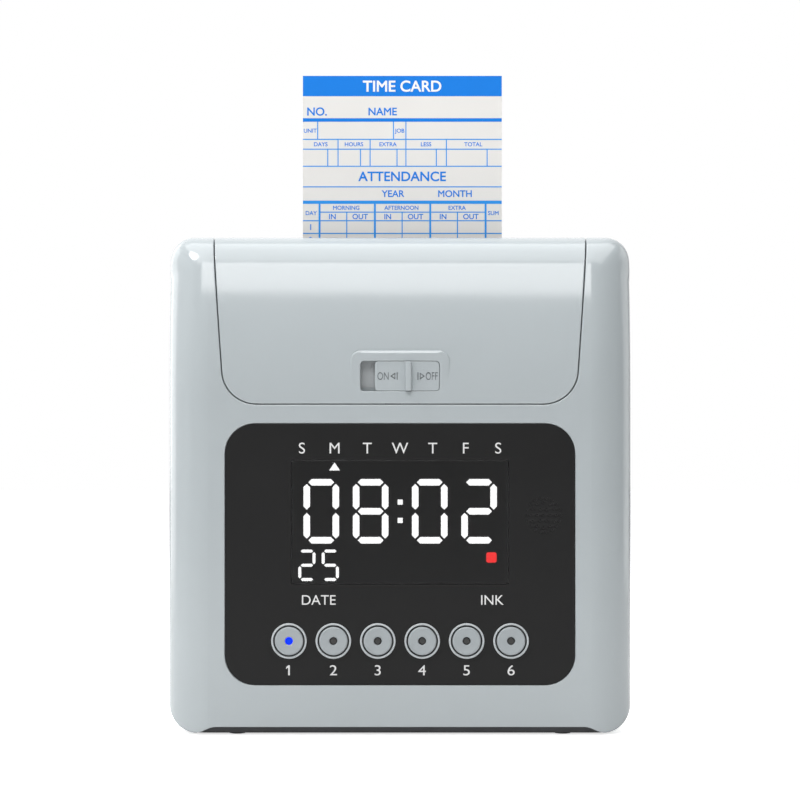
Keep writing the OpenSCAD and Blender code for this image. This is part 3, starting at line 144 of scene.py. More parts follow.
class ClockShape(bpy.types.PropertyGroup):
    """Sizes of the moulded shells, the cover, the latch, the panel and the buttons."""
    wall: length("Wall", "Thickness of the moulded shells", 2.5)
    plan_round: length("Front corner rounding", "Radius of the upright front corners", 18)
    rear_round: length("Rear corner rounding", "Radius of the rear edges", 6)
    crown_round: length("Crown rounding", "Radius of the long top edges", 10)
    heel_round: length("Heel rounding", "Radius of the lower side edges", 12)
    toe_round: length("Toe rounding", "Radius of the lowest front and rear edges", 0.8)
    brow_round: length("Brow rounding", "Radius where the front turns into the top", 20)
    lean_round: length("Lean radius", "Radius of the long curve of the leaning front", 160)
    lean_start: length("Lean start", "Height at which the front starts to lean", 139)
    lip_round: length("Lip rounding", "Radius of the lips at the seams and the recess", 0.4)
    seam: length("Seam", "Gap round the cover", 0.4)
    cover_low: length("Cover lower edge", "Height of the lower edge of the cover opening", 135.4)
    cover_low_width: length("Cover low width", "Width of the cover opening at its lower edge", 146.6)
    cover_top_width: length("Cover top width", "Width of the cover opening at the top", 155)
    cover_corner: length("Cover corner", "Radius of the lower corners of the cover opening", 14.4)
    barrel_round: length("Hinge barrel", "Radius of the hinge barrel", 3)
    skirt_gap: length("Skirt gap", "Height of the low arch over the base", 2.6)
    window_width: length("Latch window width", "Width of the latch window", 32.5)
    window_height: length("Latch window height", "Height of the latch window", 12.4)
    window_low: length("Latch window lower edge", "Height of the lower edge of the window", 140.9)
    field_margin: length("Latch field margin", "Width of the raised field beyond the window", 4.4)
    latch_travel: length("Latch travel", "Distance that the latch slides", 5.8)
    panel_round: length("Panel corner", "Radius of the panel's corners", 12.3)
    panel_gap: length("Panel gap", "Gap between the panel and its recess", 0.15)
    button_flange: length("Button flange", "Reach of a button's flange past its skirt", 1.5)
    button_gap: length("Button gap", "Gap between a button and its bore", 0.35)
    print_lift: length("Print lift", "Thickness of printed ink above its ground", 0.03)


class ClockColours(bpy.types.PropertyGroup):
    """Colours of the surfaces that show."""
    case: tint("Case", "Moulded shells and cover", (0.395, 0.432, 0.448))
    base: tint("Base", "Base plate and card slot", (0.055, 0.056, 0.06))
    panel: tint("Panel", "Front panel", (0.007, 0.007, 0.0072))
    marks: tint("Marks", "Printing on the panel", (0.68, 0.68, 0.68))
    cap: tint("Button caps", "Faces of the push buttons", (0.335, 0.365, 0.38))
    ring: tint("Button rings", "Rings round the push buttons", (0.45, 0.48, 0.495))
    card: tint("Card", "Time card", (0.75, 0.735, 0.71))
    card_ink: tint("Card ink", "Header and heavy lines of the card", (0.0, 0.19, 0.70))
    card_rule: tint("Card rules", "Thin lines of the card", (0.02, 0.28, 0.78))
    figures: tint("Figures", "Lit figures of the display", (1.0, 1.0, 1.0))
    red_lamp: tint("Red lamp", "Lit mark for the ribbon colour", (0.95, 0.03, 0.03))
    blue_lamp: tint("Blue lamp", "Lit lamp of the first button", (0.0, 0.02, 1.0))


class ClockStage(bpy.types.PropertyGroup):
    """Camera and lights."""
    camera_distance: length("Camera distance", "Distance from the camera to the front of the case", 1500)
    camera_height: length("Camera height", "Height of the camera above the floor", 137.3)
    focal_length: bpy.props.FloatProperty(name="Focal length", description="Lens of the camera, in mm",
                                          default=164.8)
    sky_level: bpy.props.FloatProperty(name="Sky level", description="Even light from all round",
                                       default=0.215, min=0.0)
    key_power: power("Key light", "Power of the light in front", 21.5)
    top_power: power("Top light", "Power of the light above", 23.5)
    fill_power: power("Fill light", "Power of the wide light on the left", 1.8)
    side_power: power("Side light", "Power of the light behind on the left", 5.0)
    rim_power: power("Rim light", "Power of the light behind on the right", 3.0)
    spark_power: power("Spark light", "Power of the small round light", 9.0)


def shape():
    """Sizes set in the scene."""
    return bpy.context.scene.clock_shape


def colours():
    """Colours set in the scene."""
    return bpy.context.scene.clock_colours


# Meshes

def new_piece(name, bm, *materials, turn_out=True):
    """Object made from a bmesh, with its doubles merged and its faces turned outwards."""
    bmesh.ops.remove_doubles(bm, verts=bm.verts, dist=merge_gap)
    if turn_out:
        bmesh.ops.recalc_face_normals(bm, faces=bm.faces)
    mesh = bpy.data.meshes.new(name)
    bm.to_mesh(mesh)
    bm.free()
    for material in materials:
        mesh.materials.append(material)
    piece = bpy.data.objects.new(name, mesh)
    bpy.context.scene.collection.objects.link(piece)
    return piece


def discard(piece):
    """Removes a helper object and its mesh."""
    data = piece.data
    bpy.data.objects.remove(piece)
    if isinstance(data, bpy.types.Mesh):
        bpy.data.meshes.remove(data)
    else:
        bpy.data.curves.remove(data)


def settled_mesh(piece):
    """Mesh of a piece with its modifiers applied."""
    bpy.context.view_layer.update()
    depsgraph = bpy.context.evaluated_depsgraph_get()
    return bpy.data.meshes.new_from_object(piece.evaluated_get(depsgraph))


def settle(piece):
    """Applies every modifier of a piece to its mesh."""
    mesh = settled_mesh(piece)
    old = piece.data
    piece.modifiers.clear()
    piece.data = mesh
    mesh.name = piece.name
    bpy.data.meshes.remove(old)


def carve(piece, *tools, operation="DIFFERENCE"):
    """Cuts tools out of a piece, or adds them to it, and removes the tools."""
    for tool in tools:
        change = piece.modifiers.new("carve", "BOOLEAN")
        change.operation = operation
        change.solver = "EXACT"
        change.object = tool
    settle(piece)
    for tool in tools:
        discard(tool)


def harden(piece, angle=smooth_angle):
    """Smooth shading that keeps flat faces flat and breaks at sharp edges."""
    piece.data.shade_smooth()
    piece.data.set_sharp_from_angle(angle=math.radians(angle))
    weighted = piece.modifiers.new("weighted", "WEIGHTED_NORMAL")
    weighted.keep_sharp = True
    settle(piece)


def fit(piece, body, *nodes, angle=smooth_angle):
    """Finishes a piece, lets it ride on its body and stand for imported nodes."""
    harden(piece, angle)
    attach(piece, body)
    if nodes:
        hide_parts(*nodes)


def arc(cx, cy, radius, start, end, steps=8):
    """Points along a circular arc, angles in degrees."""
    angles = [math.radians(start + (end - start) * k / steps) for k in range(steps + 1)]
    return [(cx + radius * math.cos(a), cy + radius * math.sin(a)) for a in angles]


def soft_rect(x0, x1, y0, y1, radius, steps=8):
    """Outline of a rectangle with rounded corners."""
    return (arc(x0 + radius, y0 + radius, radius, 180, 270, steps)
            + arc(x1 - radius, y0 + radius, radius, 270, 360, steps)
            + arc(x1 - radius, y1 - radius, radius, 0, 90, steps)
            + arc(x0 + radius, y1 - radius, radius, 90, 180, steps))


def circle(x, y, radius, steps=32):
    """Outline of a circle."""
    return arc(x, y, radius, 0, 360 - 360 / steps, steps - 1)


def loft(bm, rings):
    """Closed skin through rings of equal count, with both ends filled."""
    rows = [[bm.verts.new(point) for point in ring] for ring in rings]
    for low, high in zip(rows, rows[1:]):
        for k in range(len(low)):
            bm.faces.new((low[k - 1], low[k], high[k], high[k - 1]))
    bm.faces.new(rows[0])
    bm.faces.new(reversed(rows[-1]))


axis_vectors = {
    "X": (Vector((1, 0, 0)), Vector((0, 1, 0)), Vector((0, 0, 1))),
    "Y": (Vector((0, 1, 0)), Vector((0, 0, 1)), Vector((1, 0, 0))),
    "Z": (Vector((0, 0, 1)), Vector((1, 0, 0)), Vector((0, 1, 0))),
}


def turned(bm, profile, axis, middle, steps=48):
    """Closed profile of radii and places along an axis, turned about that axis."""
    along, across, up = axis_vectors[axis]
    rows = []
    for k in range(steps):
        a = 2 * math.pi * k / steps
        out = across * math.cos(a) + up * math.sin(a)
        rows.append([bm.verts.new(Vector(middle) + out * r + along * t) for r, t in profile])
    for k in range(steps):
        for j in range(len(profile)):
            corners = (rows[k - 1][j - 1], rows[k][j - 1], rows[k][j], rows[k - 1][j])
            bm.faces.new(corners)


def round_post(bm, axis, middle, radius, start, end, bevel=0.3 * mm, bore=0.0, steps=32):
    """Round post with softened rims, drawn along an axis, with an open bore where one is given."""
    cut = bevel * 0.3
    rim = [(radius - bevel, start), (radius - cut, start + cut), (radius, start + bevel),
           (radius, end - bevel), (radius - cut, end - cut), (radius - bevel, end)]
    turned(bm, rim + [(bore, end), (bore, start)], axis, middle, steps)


def cube(bm, low, high):
    """Adds a plain box between two corners and gives its vertices."""
    size = Vector(high) - Vector(low)
    place = Matrix.Translation((Vector(low) + Vector(high)) / 2) @ Matrix.Diagonal((*size, 1))
    return bmesh.ops.create_cube(bm, size=1, matrix=place)["verts"]


def block(bm, low, high, bevel=0.3 * mm):
    """Box between two corners with softened edges."""
    edges = list({edge for vert in cube(bm, low, high) for edge in vert.link_edges})
    bmesh.ops.bevel(bm, geom=edges, offset=bevel, segments=2, profile=0.5, affect="EDGES")


def plate(bm, loops, low, high, bevel, lying=False):
    """Plate from closed outlines, the first round it and the others holes, with rounded rims.

    It stands in X and Z between two y values, or lies in X and Y between two z values."""
    curve = bpy.data.curves.new("outline", "CURVE")
    curve.dimensions = "2D"
    curve.fill_mode = "BOTH"
    curve.extrude = (high - low) / 2 - bevel
    curve.bevel_depth = bevel
    curve.bevel_resolution = 1
    curve.offset = -bevel
    for loop in loops:
        spline = curve.splines.new("POLY")
        spline.points.add(len(loop) - 1)
        for point, (x, y) in zip(spline.points, loop):
            point.co = (x, y, 0, 1)
        spline.use_cyclic_u = True
    helper = bpy.data.objects.new("outline", curve)
    bpy.context.scene.collection.objects.link(helper)
    mesh = settled_mesh(helper)
    turn = Matrix() if lying else Matrix.Rotation(math.pi / 2, 4, "X")
    shift = Vector((0, 0, (low + high) / 2)) if lying else Vector((0, (low + high) / 2, 0))
    mesh.transform(Matrix.Translation(shift) @ turn)
    bm.from_mesh(mesh)
    bpy.data.meshes.remove(mesh)
    discard(helper)


def cutter(loops, low, high, bevel=0.0001 * mm, lying=False):
    """Plate that serves as a cutting tool."""
    bm = bmesh.new()
    plate(bm, loops, low, high, bevel, lying)
    return new_piece("cutter", bm)


def box_cutter(low, high):
    """Box that serves as a cutting tool."""
    bm = bmesh.new()
    cube(bm, low, high)
    return new_piece("cutter", bm)


def lip_steps(radius, sink=0.015 * mm, steps=4):
    """Growth and depth of points round a lip, from just under its face to its side."""
    angles = [math.pi / 2 * k / steps for k in range(steps + 1)]
    return [(radius * (1 - math.sin(a)), sink + radius * (1 - math.cos(a))) for a in angles]


def rimmed_cutter(outline, low, high, rim, front):
    """Cutting tool along Y whose section widens at the face that it enters, so the cut gets a rounded lip.

    The outline is a function of a growth, and front says that the entry is at the low end."""
    reach = 1 * mm
    rows = lip_steps(rim)
    if front:
        places = [(rim, low - reach)] + [(grow, low + depth) for grow, depth in rows] + [(0, high)]
    else:
        places = [(rim, high + reach)] + [(grow, high - depth) for grow, depth in rows] + [(0, low)]
    bm = bmesh.new()
    loft(bm, [[(x, y, z) for x, z in outline(grow)] for grow, y in places])
    return new_piece("cutter", bm)


def joined(bm, piece):
    """Adds the mesh of a bmesh to a piece as it is."""
    extra = new_piece("extra", bm)
    total = bmesh.new()
    total.from_mesh(piece.data)
    total.from_mesh(extra.data)
    total.to_mesh(piece.data)
    total.free()
    discard(extra)


# Shader node groups and finishes

def add(tree, kind, inputs=(), **settings):
    """Adds a node. Settings are its options, and inputs are constants or sockets to link, by input name."""
    made = tree.nodes.new(kind)
    for key, value in settings.items():
        setattr(made, key, value)
    for key, value in dict(inputs).items():
        if isinstance(value, bpy.types.NodeSocket):
            tree.links.new(value, made.inputs[key])
        else:
            made.inputs[key].default_value = value
    return made


socket_kinds = {"colour": "NodeSocketColor", "value": "NodeSocketFloat", "vector": "NodeSocketVector",
                "count": "NodeSocketInt", "object": "NodeSocketObject", "material": "NodeSocketMaterial",
                "shape": "NodeSocketGeometry"}


def new_group(name, kind, inputs, outputs):
    """Node group with named sockets, and its input and output nodes."""
    tree = bpy.data.node_groups.new(name, kind)
    for label, socket in inputs.items():
        tree.interface.new_socket(label, in_out="INPUT", socket_type=socket_kinds[socket])
    for label, socket in outputs.items():
        tree.interface.new_socket(label, in_out="OUTPUT", socket_type=socket_kinds[socket])
    return tree, tree.nodes.new("NodeGroupInput").outputs, tree.nodes.new("NodeGroupOutput").inputs


def math_node(tree, operation, first, second, third=None):
    """Result of arithmetic with sockets and numbers."""
    values = {0: first, 1: second}
    if third is not None:
        values[2] = third
    return add(tree, "ShaderNodeMath", values, operation=operation).outputs[0]


def noise(tree, vector, scale, detail):
    """Value of a noise texture."""
    inputs = {"Vector": vector, "Scale": scale, "Detail": detail}
    return add(tree, "ShaderNodeTexNoise", inputs).outputs["Fac"]


def swayed(tree, base, value, amount):
    """A base number moved up and down by a value between nought and one."""
    centred = math_node(tree, "SUBTRACT", value, 0.5)
    return math_node(tree, "MULTIPLY_ADD", centred, amount, base)


def shaded(tree, colour, factor):
    """A colour made lighter or darker by a factor."""
    return add(tree, "ShaderNodeVectorMath", {0: colour, "Scale": factor}, operation="SCALE").outputs[0]


def make_grain_group():
    """Moulded surface: fine grain, cloudy colour and uneven gloss."""
    tree, given, result = new_group(
        "Moulded grain", "ShaderNodeTree",
        {"Vector": "vector", "Colour": "colour", "Roughness": "value", "Grain": "value", "Mottle": "value"},
        {"Colour": "colour", "Roughness": "value", "Height": "value"})
    broad = noise(tree, given["Vector"], 34.0, 2.0)
    fine = noise(tree, given["Vector"], given["Grain"], 2.5)
    factor = swayed(tree, 1.0, broad, given["Mottle"])
    speckle = swayed(tree, factor, fine, math_node(tree, "MULTIPLY", given["Mottle"], 0.6))
    tree.links.new(shaded(tree, given["Colour"], speckle), result["Colour"])
    patchy = math_node(tree, "MULTIPLY", given["Roughness"], 0.25)
    tree.links.new(swayed(tree, given["Roughness"], broad, patchy), result["Roughness"])
    tree.links.new(fine, result["Height"])


def make_streak_group():
    """Drawn, brushed or turned metal: streaks along one direction."""
    tree, given, result = new_group(
        "Drawn streaks", "ShaderNodeTree",
        {"Vector": "vector", "Stretch": "vector", "Colour": "colour", "Roughness": "value",
         "Contrast": "value"},
        {"Colour": "colour", "Roughness": "value", "Height": "value"})
    stretched = {0: given["Vector"], 1: given["Stretch"]}
    drawn = add(tree, "ShaderNodeVectorMath", stretched, operation="MULTIPLY")
    lines = noise(tree, drawn.outputs[0], 1.0, 4.0)
    stain = noise(tree, given["Vector"], 60.0, 3.0)
    factor = swayed(tree, swayed(tree, 1.0, lines, given["Contrast"]), stain, 0.14)
    tree.links.new(shaded(tree, given["Colour"], factor), result["Colour"])
    tree.links.new(swayed(tree, given["Roughness"], lines, 0.22), result["Roughness"])
    tree.links.new(lines, result["Height"])


def make_smudge_group():
    """Faint marks of handling that dull the gloss in patches."""
    tree, given, result = new_group(
        "Handling marks", "ShaderNodeTree",
        {"Vector": "vector", "Roughness": "value", "Amount": "value"}, {"Roughness": "value"})
    patches = noise(tree, given["Vector"], 46.0, 5.0)
    held = add(tree, "ShaderNodeMapRange", {"Value": patches, "From Min": 0.48, "From Max": 0.72})
    marks = math_node(tree, "MULTIPLY_ADD", held.outputs[0], given["Amount"], given["Roughness"])
    tree.links.new(marks, result["Roughness"])


def make_weave_group():
    """Tight weave: threads both ways that change the colour, the gloss and the height."""
    tree, given, result = new_group(
        "Tight weave", "ShaderNodeTree", {"Vector": "vector", "Colour": "colour", "Roughness": "value"},
        {"Colour": "colour", "Roughness": "value", "Height": "value"})
    threads = {"Vector": given["Vector"], "Scale": 420.0, "Distortion": 0.6}
    warp = add(tree, "ShaderNodeTexWave", threads, bands_direction="X")
    weft = add(tree, "ShaderNodeTexWave", threads, bands_direction="Z")
    crossed = math_node(tree, "MULTIPLY", warp.outputs["Fac"], weft.outputs["Fac"])
    tree.links.new(shaded(tree, given["Colour"], swayed(tree, 1.0, crossed, 0.8)), result["Colour"])
    tree.links.new(swayed(tree, given["Roughness"], crossed, 0.2), result["Roughness"])
    tree.links.new(crossed, result["Height"])


def place_group(tree, group, inputs):
    """Outputs of a node that holds a shared group."""
    return add(tree, "ShaderNodeGroup", inputs, node_tree=bpy.data.node_groups[group]).outputs


def grain_skin(tree, place, rgb, roughness, grain, mottle):
    """Outputs of the moulded grain with its own colour, roughness, scale and cloudiness."""
    return place_group(tree, "Moulded grain", {"Vector": place, "Colour": (*rgb, 1.0), "Grain": grain,
                                               "Roughness": roughness, "Mottle": mottle})


def blank(name):
    """Makes a material, kept by its name, and gives its tree, its shader and the object coordinates."""
    material = bpy.data.materials.new(name)
    material.use_nodes = True
    finishes[name] = material
    tree = material.node_tree
    return tree, tree.nodes["Principled BSDF"], add(tree, "ShaderNodeTexCoord").outputs["Object"]


def connect(tree, shader, outputs, relief, strength=0.35):
    """Feeds a group's colour, roughness and height to the shader."""
    tree.links.new(outputs["Colour"], shader.inputs["Base Color"])
    tree.links.new(outputs["Roughness"], shader.inputs["Roughness"])
    bump = add(tree, "ShaderNodeBump", {"Height": outputs["Height"], "Distance": relief,
                                        "Strength": strength})
    tree.links.new(bump.outputs["Normal"], shader.inputs["Normal"])


def moulded(name, rgb, roughness, grain=1500.0, relief=0.02 * mm, mottle=0.06, smudges=0.0, gloss=0.5):
    """Moulded plastic, rubber, paper or ink."""
    tree, shader, place = blank(name)
    skin = grain_skin(tree, place, rgb, roughness, grain, mottle)
    connect(tree, shader, skin, relief)
    shader.inputs["Specular IOR Level"].default_value = gloss
    if smudges:
        marks = place_group(tree, "Handling marks", {"Vector": place, "Roughness": skin["Roughness"],
                                                     "Amount": smudges})
        tree.links.new(marks["Roughness"], shader.inputs["Roughness"])


def drawn_metal(name, rgb, roughness, stretch, contrast=0.2, relief=0.01 * mm):
    """Bright metal with streaks from drawing, grinding or turning."""
    tree, shader, place = blank(name)
    skin = place_group(tree, "Drawn streaks", {"Vector": place, "Stretch": stretch, "Colour": (*rgb, 1.0),
                                               "Roughness": roughness, "Contrast": contrast})
    connect(tree, shader, skin, relief, 0.2)
    shader.inputs["Metallic"].default_value = 1.0


def glowing(name, rgb, strength):
    """Lit diffuser with a slightly uneven glow."""
    tree, shader, place = blank(name)
    skin = grain_skin(tree, place, rgb, 0.4, 900.0, 0.08)
    connect(tree, shader, skin, 0.01 * mm)
    tree.links.new(skin["Colour"], shader.inputs["Emission Color"])
    shader.inputs["Emission Strength"].default_value = strength
    shader.inputs["Specular IOR Level"].default_value = 0.15


def smoked(name, rgb, opacity):
    """Smoked window plastic with faint handling marks. The lower its opacity, the more shows through."""
    tree, shader, place = blank(name)
    marks = place_group(tree, "Handling marks", {"Vector": place, "Roughness": 0.3, "Amount": 0.05})
    tree.links.new(marks["Roughness"], shader.inputs["Roughness"])
    shader.inputs["Base Color"].default_value = (*rgb, 1.0)
    shader.inputs["Alpha"].default_value = opacity
    shader.inputs["Specular IOR Level"].default_value = 0.3


def woven(name, rgb):
    """Tightly woven cloth: the inked ribbon and the cloth behind the speaker holes."""
    tree, shader, place = blank(name)
    skin = place_group(tree, "Tight weave", {"Vector": place, "Colour": (*rgb, 1.0), "Roughness": 0.75})
    connect(tree, shader, skin, 0.05 * mm, 0.6)


def lacquered_board(name):
    """Green board with paler copper runs under the lacquer."""
    tree, shader, place = blank(name)
    cells = add(tree, "ShaderNodeTexVoronoi", {"Vector": place, "Scale": 190.0, "Randomness": 0.35},
                feature="DISTANCE_TO_EDGE", distance="CHEBYCHEV")
    runs = add(tree, "ShaderNodeMapRange", {"Value": cells.outputs["Distance"], "From Min": 0.05,
                                            "From Max": 0.09, "To Min": 1.0, "To Max": 0.0}).outputs[0]
    ground = grain_skin(tree, place, (0.012, 0.075, 0.03), 0.3, 700.0, 0.2)
    mix = add(tree, "ShaderNodeMix", {"Factor": runs, "A": ground["Colour"], "B": (0.05, 0.2, 0.07, 1.0)},
              data_type="RGBA")
    tree.links.new(mix.outputs["Result"], shader.inputs["Base Color"])
    tree.links.new(ground["Roughness"], shader.inputs["Roughness"])
    bump = add(tree, "ShaderNodeBump", {"Height": runs, "Distance": 0.04 * mm, "Strength": 0.5})
    tree.links.new(bump.outputs["Normal"], shader.inputs["Normal"])


def make_finishes():
    """Builds the node groups, then every material, by the record's slot name where it has one."""
    make_grain_group()
    make_streak_group()
    make_smudge_group()
    make_weave_group()
    tints = colours()
    streaks_x = (60.0, 2600.0, 2600.0)
    streaks_z = (2600.0, 2600.0, 60.0)
    moulded("case_grey", tints.case, 0.13, 1300.0, 0.003 * mm, 0.03, 0.015, 0.6)
    # Darker copy of the case plastic for the floors of the engraved latch marks: painted shade in the
    # engravings
    moulded("engraved_grey", tuple(v * 0.42 for v in tints.case), 0.5, 1300.0)
    moulded("bracket_grey", (0.38, 0.4, 0.41), 0.5, 900.0)
    moulded("base_dark", tints.base, 0.5, 850.0, 0.05 * mm, 0.12)
    moulded("foot_rubber", (0.016, 0.016, 0.017), 0.72, 1100.0, 0.06 * mm, 0.2)
    moulded("panel_black", tints.panel, 0.36, 2100.0, 0.02 * mm, 0.15, 0.04, 0.3)
    moulded("panel_marks", tints.marks, 0.55, 2600.0, 0.01 * mm, 0.08)
    smoked("lens_smoke", tints.panel, 0.93)
    smoked("lens_clear", tints.panel, 0.1)
    moulded("module_black", (0.004, 0.004, 0.004), 0.7, 1200.0)
    glowing("segment_white", tints.figures, 16.5)
    glowing("lamp_red", tints.red_lamp, 14.5)
    glowing("led_blue", tints.blue_lamp, 1.3)
    moulded("led_dark", (0.035, 0.035, 0.034), 0.25, 600.0, 0.01 * mm, 0.2)
    lacquered_board("board_green")
    moulded("ring_satin", tints.ring, 0.28, 2400.0, 0.01 * mm, 0.06, 0.04)
    # Dark finish for the buttons' skirts: painted shade in the groove round each cap
    moulded("button_skirt", (0.11, 0.113, 0.117), 0.5, 1600.0, 0.02 * mm, 0.1)
    moulded("button_grey", tints.cap, 0.42, 2400.0, 0.015 * mm, 0.07, 0.05)
    moulded("mat_rubber", (0.11, 0.115, 0.12), 0.7, 800.0)
    moulded("speaker_black", (0.018, 0.018, 0.02), 0.8, 500.0, 0.1 * mm, 0.3)
    drawn_metal("screw_steel", (0.42, 0.43, 0.44), 0.34, (900.0, 900.0, 900.0), 0.25)
    drawn_metal("bright_steel", (0.62, 0.63, 0.64), 0.2, streaks_x)
    drawn_metal("sheet_steel", (0.5, 0.51, 0.52), 0.38, streaks_z, 0.25)
    drawn_metal("motor_steel", (0.45, 0.46, 0.47), 0.36, (700.0, 700.0, 700.0), 0.3)
    drawn_metal("head_alloy", (0.17, 0.18, 0.19), 0.45, (500.0, 500.0, 500.0), 0.3)
    drawn_metal("pinion_brass", (0.62, 0.42, 0.14), 0.3, streaks_x)
    moulded("card_paper", tints.card, 0.75, 2200.0, 0.02 * mm, 0.05, gloss=0.25)
    moulded("card_ink", tints.card_ink, 0.6, 2600.0, 0.01 * mm, 0.10, gloss=0.3)
    moulded("card_rule", tints.card_rule, 0.6, 2600.0, 0.01 * mm, 0.10, gloss=0.3)
    moulded("card_white", (0.84, 0.84, 0.83), 0.7, 2600.0, 0.01 * mm, 0.05, gloss=0.3)
    moulded("platen_rubber", (0.022, 0.022, 0.024), 0.6, 1000.0, 0.04 * mm, 0.2)
    moulded("mech_black", (0.026, 0.027, 0.03), 0.46, 1000.0, 0.04 * mm, 0.15, 0.08)
    moulded("belt_rubber", (0.018, 0.018, 0.018), 0.75, 1300.0, 0.06 * mm, 0.2)
    moulded("gear_cream", (0.7, 0.67, 0.57), 0.45, 900.0, 0.02 * mm, 0.07)
    woven("ribbon_cloth", (0.012, 0.012, 0.016))
    woven("speaker_cloth", (0.018, 0.018, 0.0185))
    moulded("knob_blue", (0.05, 0.17, 0.4), 0.4, 1100.0, 0.03 * mm, 0.1)
    drawn_metal("core_iron", (0.22, 0.22, 0.23), 0.5, (4000.0, 60.0, 60.0), 0.5)
    moulded("winding_tape", (0.6, 0.42, 0.06), 0.35, 500.0, 0.04 * mm, 0.15)
    moulded("cell_green", (0.04, 0.24, 0.09), 0.28, 600.0, 0.02 * mm, 0.12)


def finish(name):
    """Material of a finish."""
    return finishes[name]


# Case

def edge_drop(over, radius):
    """Drop of a rounded edge below its plane, at a distance past the start of the rounding."""
    if over <= 0:
        return 0.0
    return radius - math.sqrt(max(radius * radius - over * over, 0.0))


def lean_angle():
    """Angle at which the long curve of the front meets the brow."""
    sizes = shape()
    return math.asin((top_z - sizes.brow_round - sizes.lean_start) / (sizes.lean_round - sizes.brow_round))


def lean_middle():
    """Place in Y of the middle of the front's long curve."""
    return front_y + shape().lean_round


def brow_middle():
    """Place in Y and Z of the middle of the brow's curve."""
    sizes = shape()
    reach = (sizes.lean_round - sizes.brow_round) * math.cos(lean_angle())
    return lean_middle() - reach, top_z - sizes.brow_round


def case_section(x, inset):
    """Closed outline of the case in Y and Z at one x, set in from the outer skin."""
    sizes = shape()
    past = abs(x) - half_width + inset

    def depth(radius):
        return inset + edge_drop(past + radius - inset, radius - inset)

    front_in = depth(sizes.plan_round)
    top_in = depth(sizes.crown_round)
    rear_in = depth(sizes.rear_round)
    low = base_z + depth(sizes.heel_round)
    turn = math.degrees(lean_angle())
    toe = sizes.toe_round
    rear_round = sizes.rear_round - inset
    brow_y, brow_z = brow_middle()
    points = arc(front_y + front_in + toe, low + toe, toe, 270, 180, 3)
    points += arc(lean_middle(), sizes.lean_start, sizes.lean_round - front_in, 180, 180 - turn, 20)
    steps = 18
    for k in range(1, steps + 1):
        share = k / steps
        blend = share * share * (3 - 2 * share)
        radius = sizes.brow_round - front_in - (top_in - front_in) * blend
        points += arc(brow_y, brow_z, radius, 180 - turn - (90 - turn) * share, 0, 1)[:1]
    points += arc(rear_y - rear_in - rear_round, top_z - top_in - rear_round, rear_round, 90, 0, 8)
    points += arc(rear_y - rear_in - toe, low + toe, toe, 0, -90, 3)
    return [(x, y, z) for y, z in points]


def case_solid(inset):
    """The case as one solid, set in from its outer skin."""
    steps = 18
    radius = shape().plan_round - inset
    start = half_width - inset - radius
    half = [start + radius * math.sin(math.pi / 2 * k / steps) for k in range(steps + 1)]
    # Keeps the first section clear of the cover's sides, which reach nearly to the start of the rounding
    clear = 0.6 * mm
    half[0] += clear
    bm = bmesh.new()
    loft(bm, [case_section(x, inset) for x in [-x for x in reversed(half)] + half])
    return new_piece("case_solid", bm, finish("case_grey"))


def cover_half(z, gap):
    """Half width of the cover opening at a height, drawn in by a gap."""
    sizes = shape()
    low = sizes.cover_low_width / 2 - gap
    radius = sizes.cover_corner - gap
    corner_z = sizes.cover_low + sizes.cover_corner
    if z < corner_z:
        return low - radius + math.sqrt(max(radius * radius - (corner_z - z) ** 2, 0.0))
    end_z = top_z + 1 * mm
    share = (z - corner_z) / (end_z - corner_z)
    return low + (sizes.cover_top_width - sizes.cover_low_width) / 2 * share


def front_station(z):
    """Point and lean of the middle of the front at a height."""
    sizes = shape()
    if z <= sizes.lean_start:
        return front_y, z, 0.0
    turn = lean_angle()
    brow_y, brow_z = brow_middle()
    if z <= brow_z + sizes.brow_round * math.sin(turn):
        a = math.asin((z - sizes.lean_start) / sizes.lean_round)
        return lean_middle() - sizes.lean_round * math.cos(a), z, a
    a = math.asin(min((z - brow_z) / sizes.brow_round, 1.0))
    return brow_y - sizes.brow_round * math.cos(a), z, a


def cover_rows(gap, end_y):
    """Half widths of the cover, each with its point and lean on the front, from low edge to hinge."""
    sizes = shape()
    corner_steps = 10
    side_steps = 16
    corner_z = sizes.cover_low + sizes.cover_corner
    radius = sizes.cover_corner - gap
    turn = lean_angle()
    brow_z = top_z - sizes.brow_round
    lean_end = brow_z + sizes.brow_round * math.sin(turn)
    corner = [math.pi / 2 * k / corner_steps for k in range(corner_steps + 1)]
    brow = [turn + (math.pi / 2 - turn) * k / side_steps for k in range(1, side_steps + 1)]
    heights = [corner_z - radius * math.cos(a) for a in corner]
    heights += [corner_z + (lean_end - corner_z) * k / side_steps for k in range(1, side_steps + 1)]
    heights += [brow_z + sizes.brow_round * math.sin(a) for a in brow]
    rows = [(cover_half(z, gap), *front_station(z)) for z in heights]
    return rows + [(cover_half(top_z, gap), end_y, top_z, math.pi / 2)]


def cover_ring(gap, depth, end_y):
    """Closed ring round the cover at a depth under the skin of the front."""
    right = []
    left = []
    for half, y, z, lean in cover_rows(gap, end_y):
        place = (y + depth * math.cos(lean), z - depth * math.sin(lean))
        right.append((half, *place))
        left.append((-half, *place))
    return right + left[::-1]


def cover_skin(bm, rings):
    """Closed solid through rings round the cover, with strips across both ends."""
    rows = [[bm.verts.new(point) for point in ring] for ring in rings]
    count = len(rows[0])
    for low, high in zip(rows, rows[1:]):
        for k in range(count):
            bm.faces.new((low[k - 1], low[k], high[k], high[k - 1]))
    for row in (rows[0], rows[-1]):
        for k in range(count // 2 - 1):
            bm.faces.new((row[k], row[k + 1], row[count - 2 - k], row[count - 1 - k]))


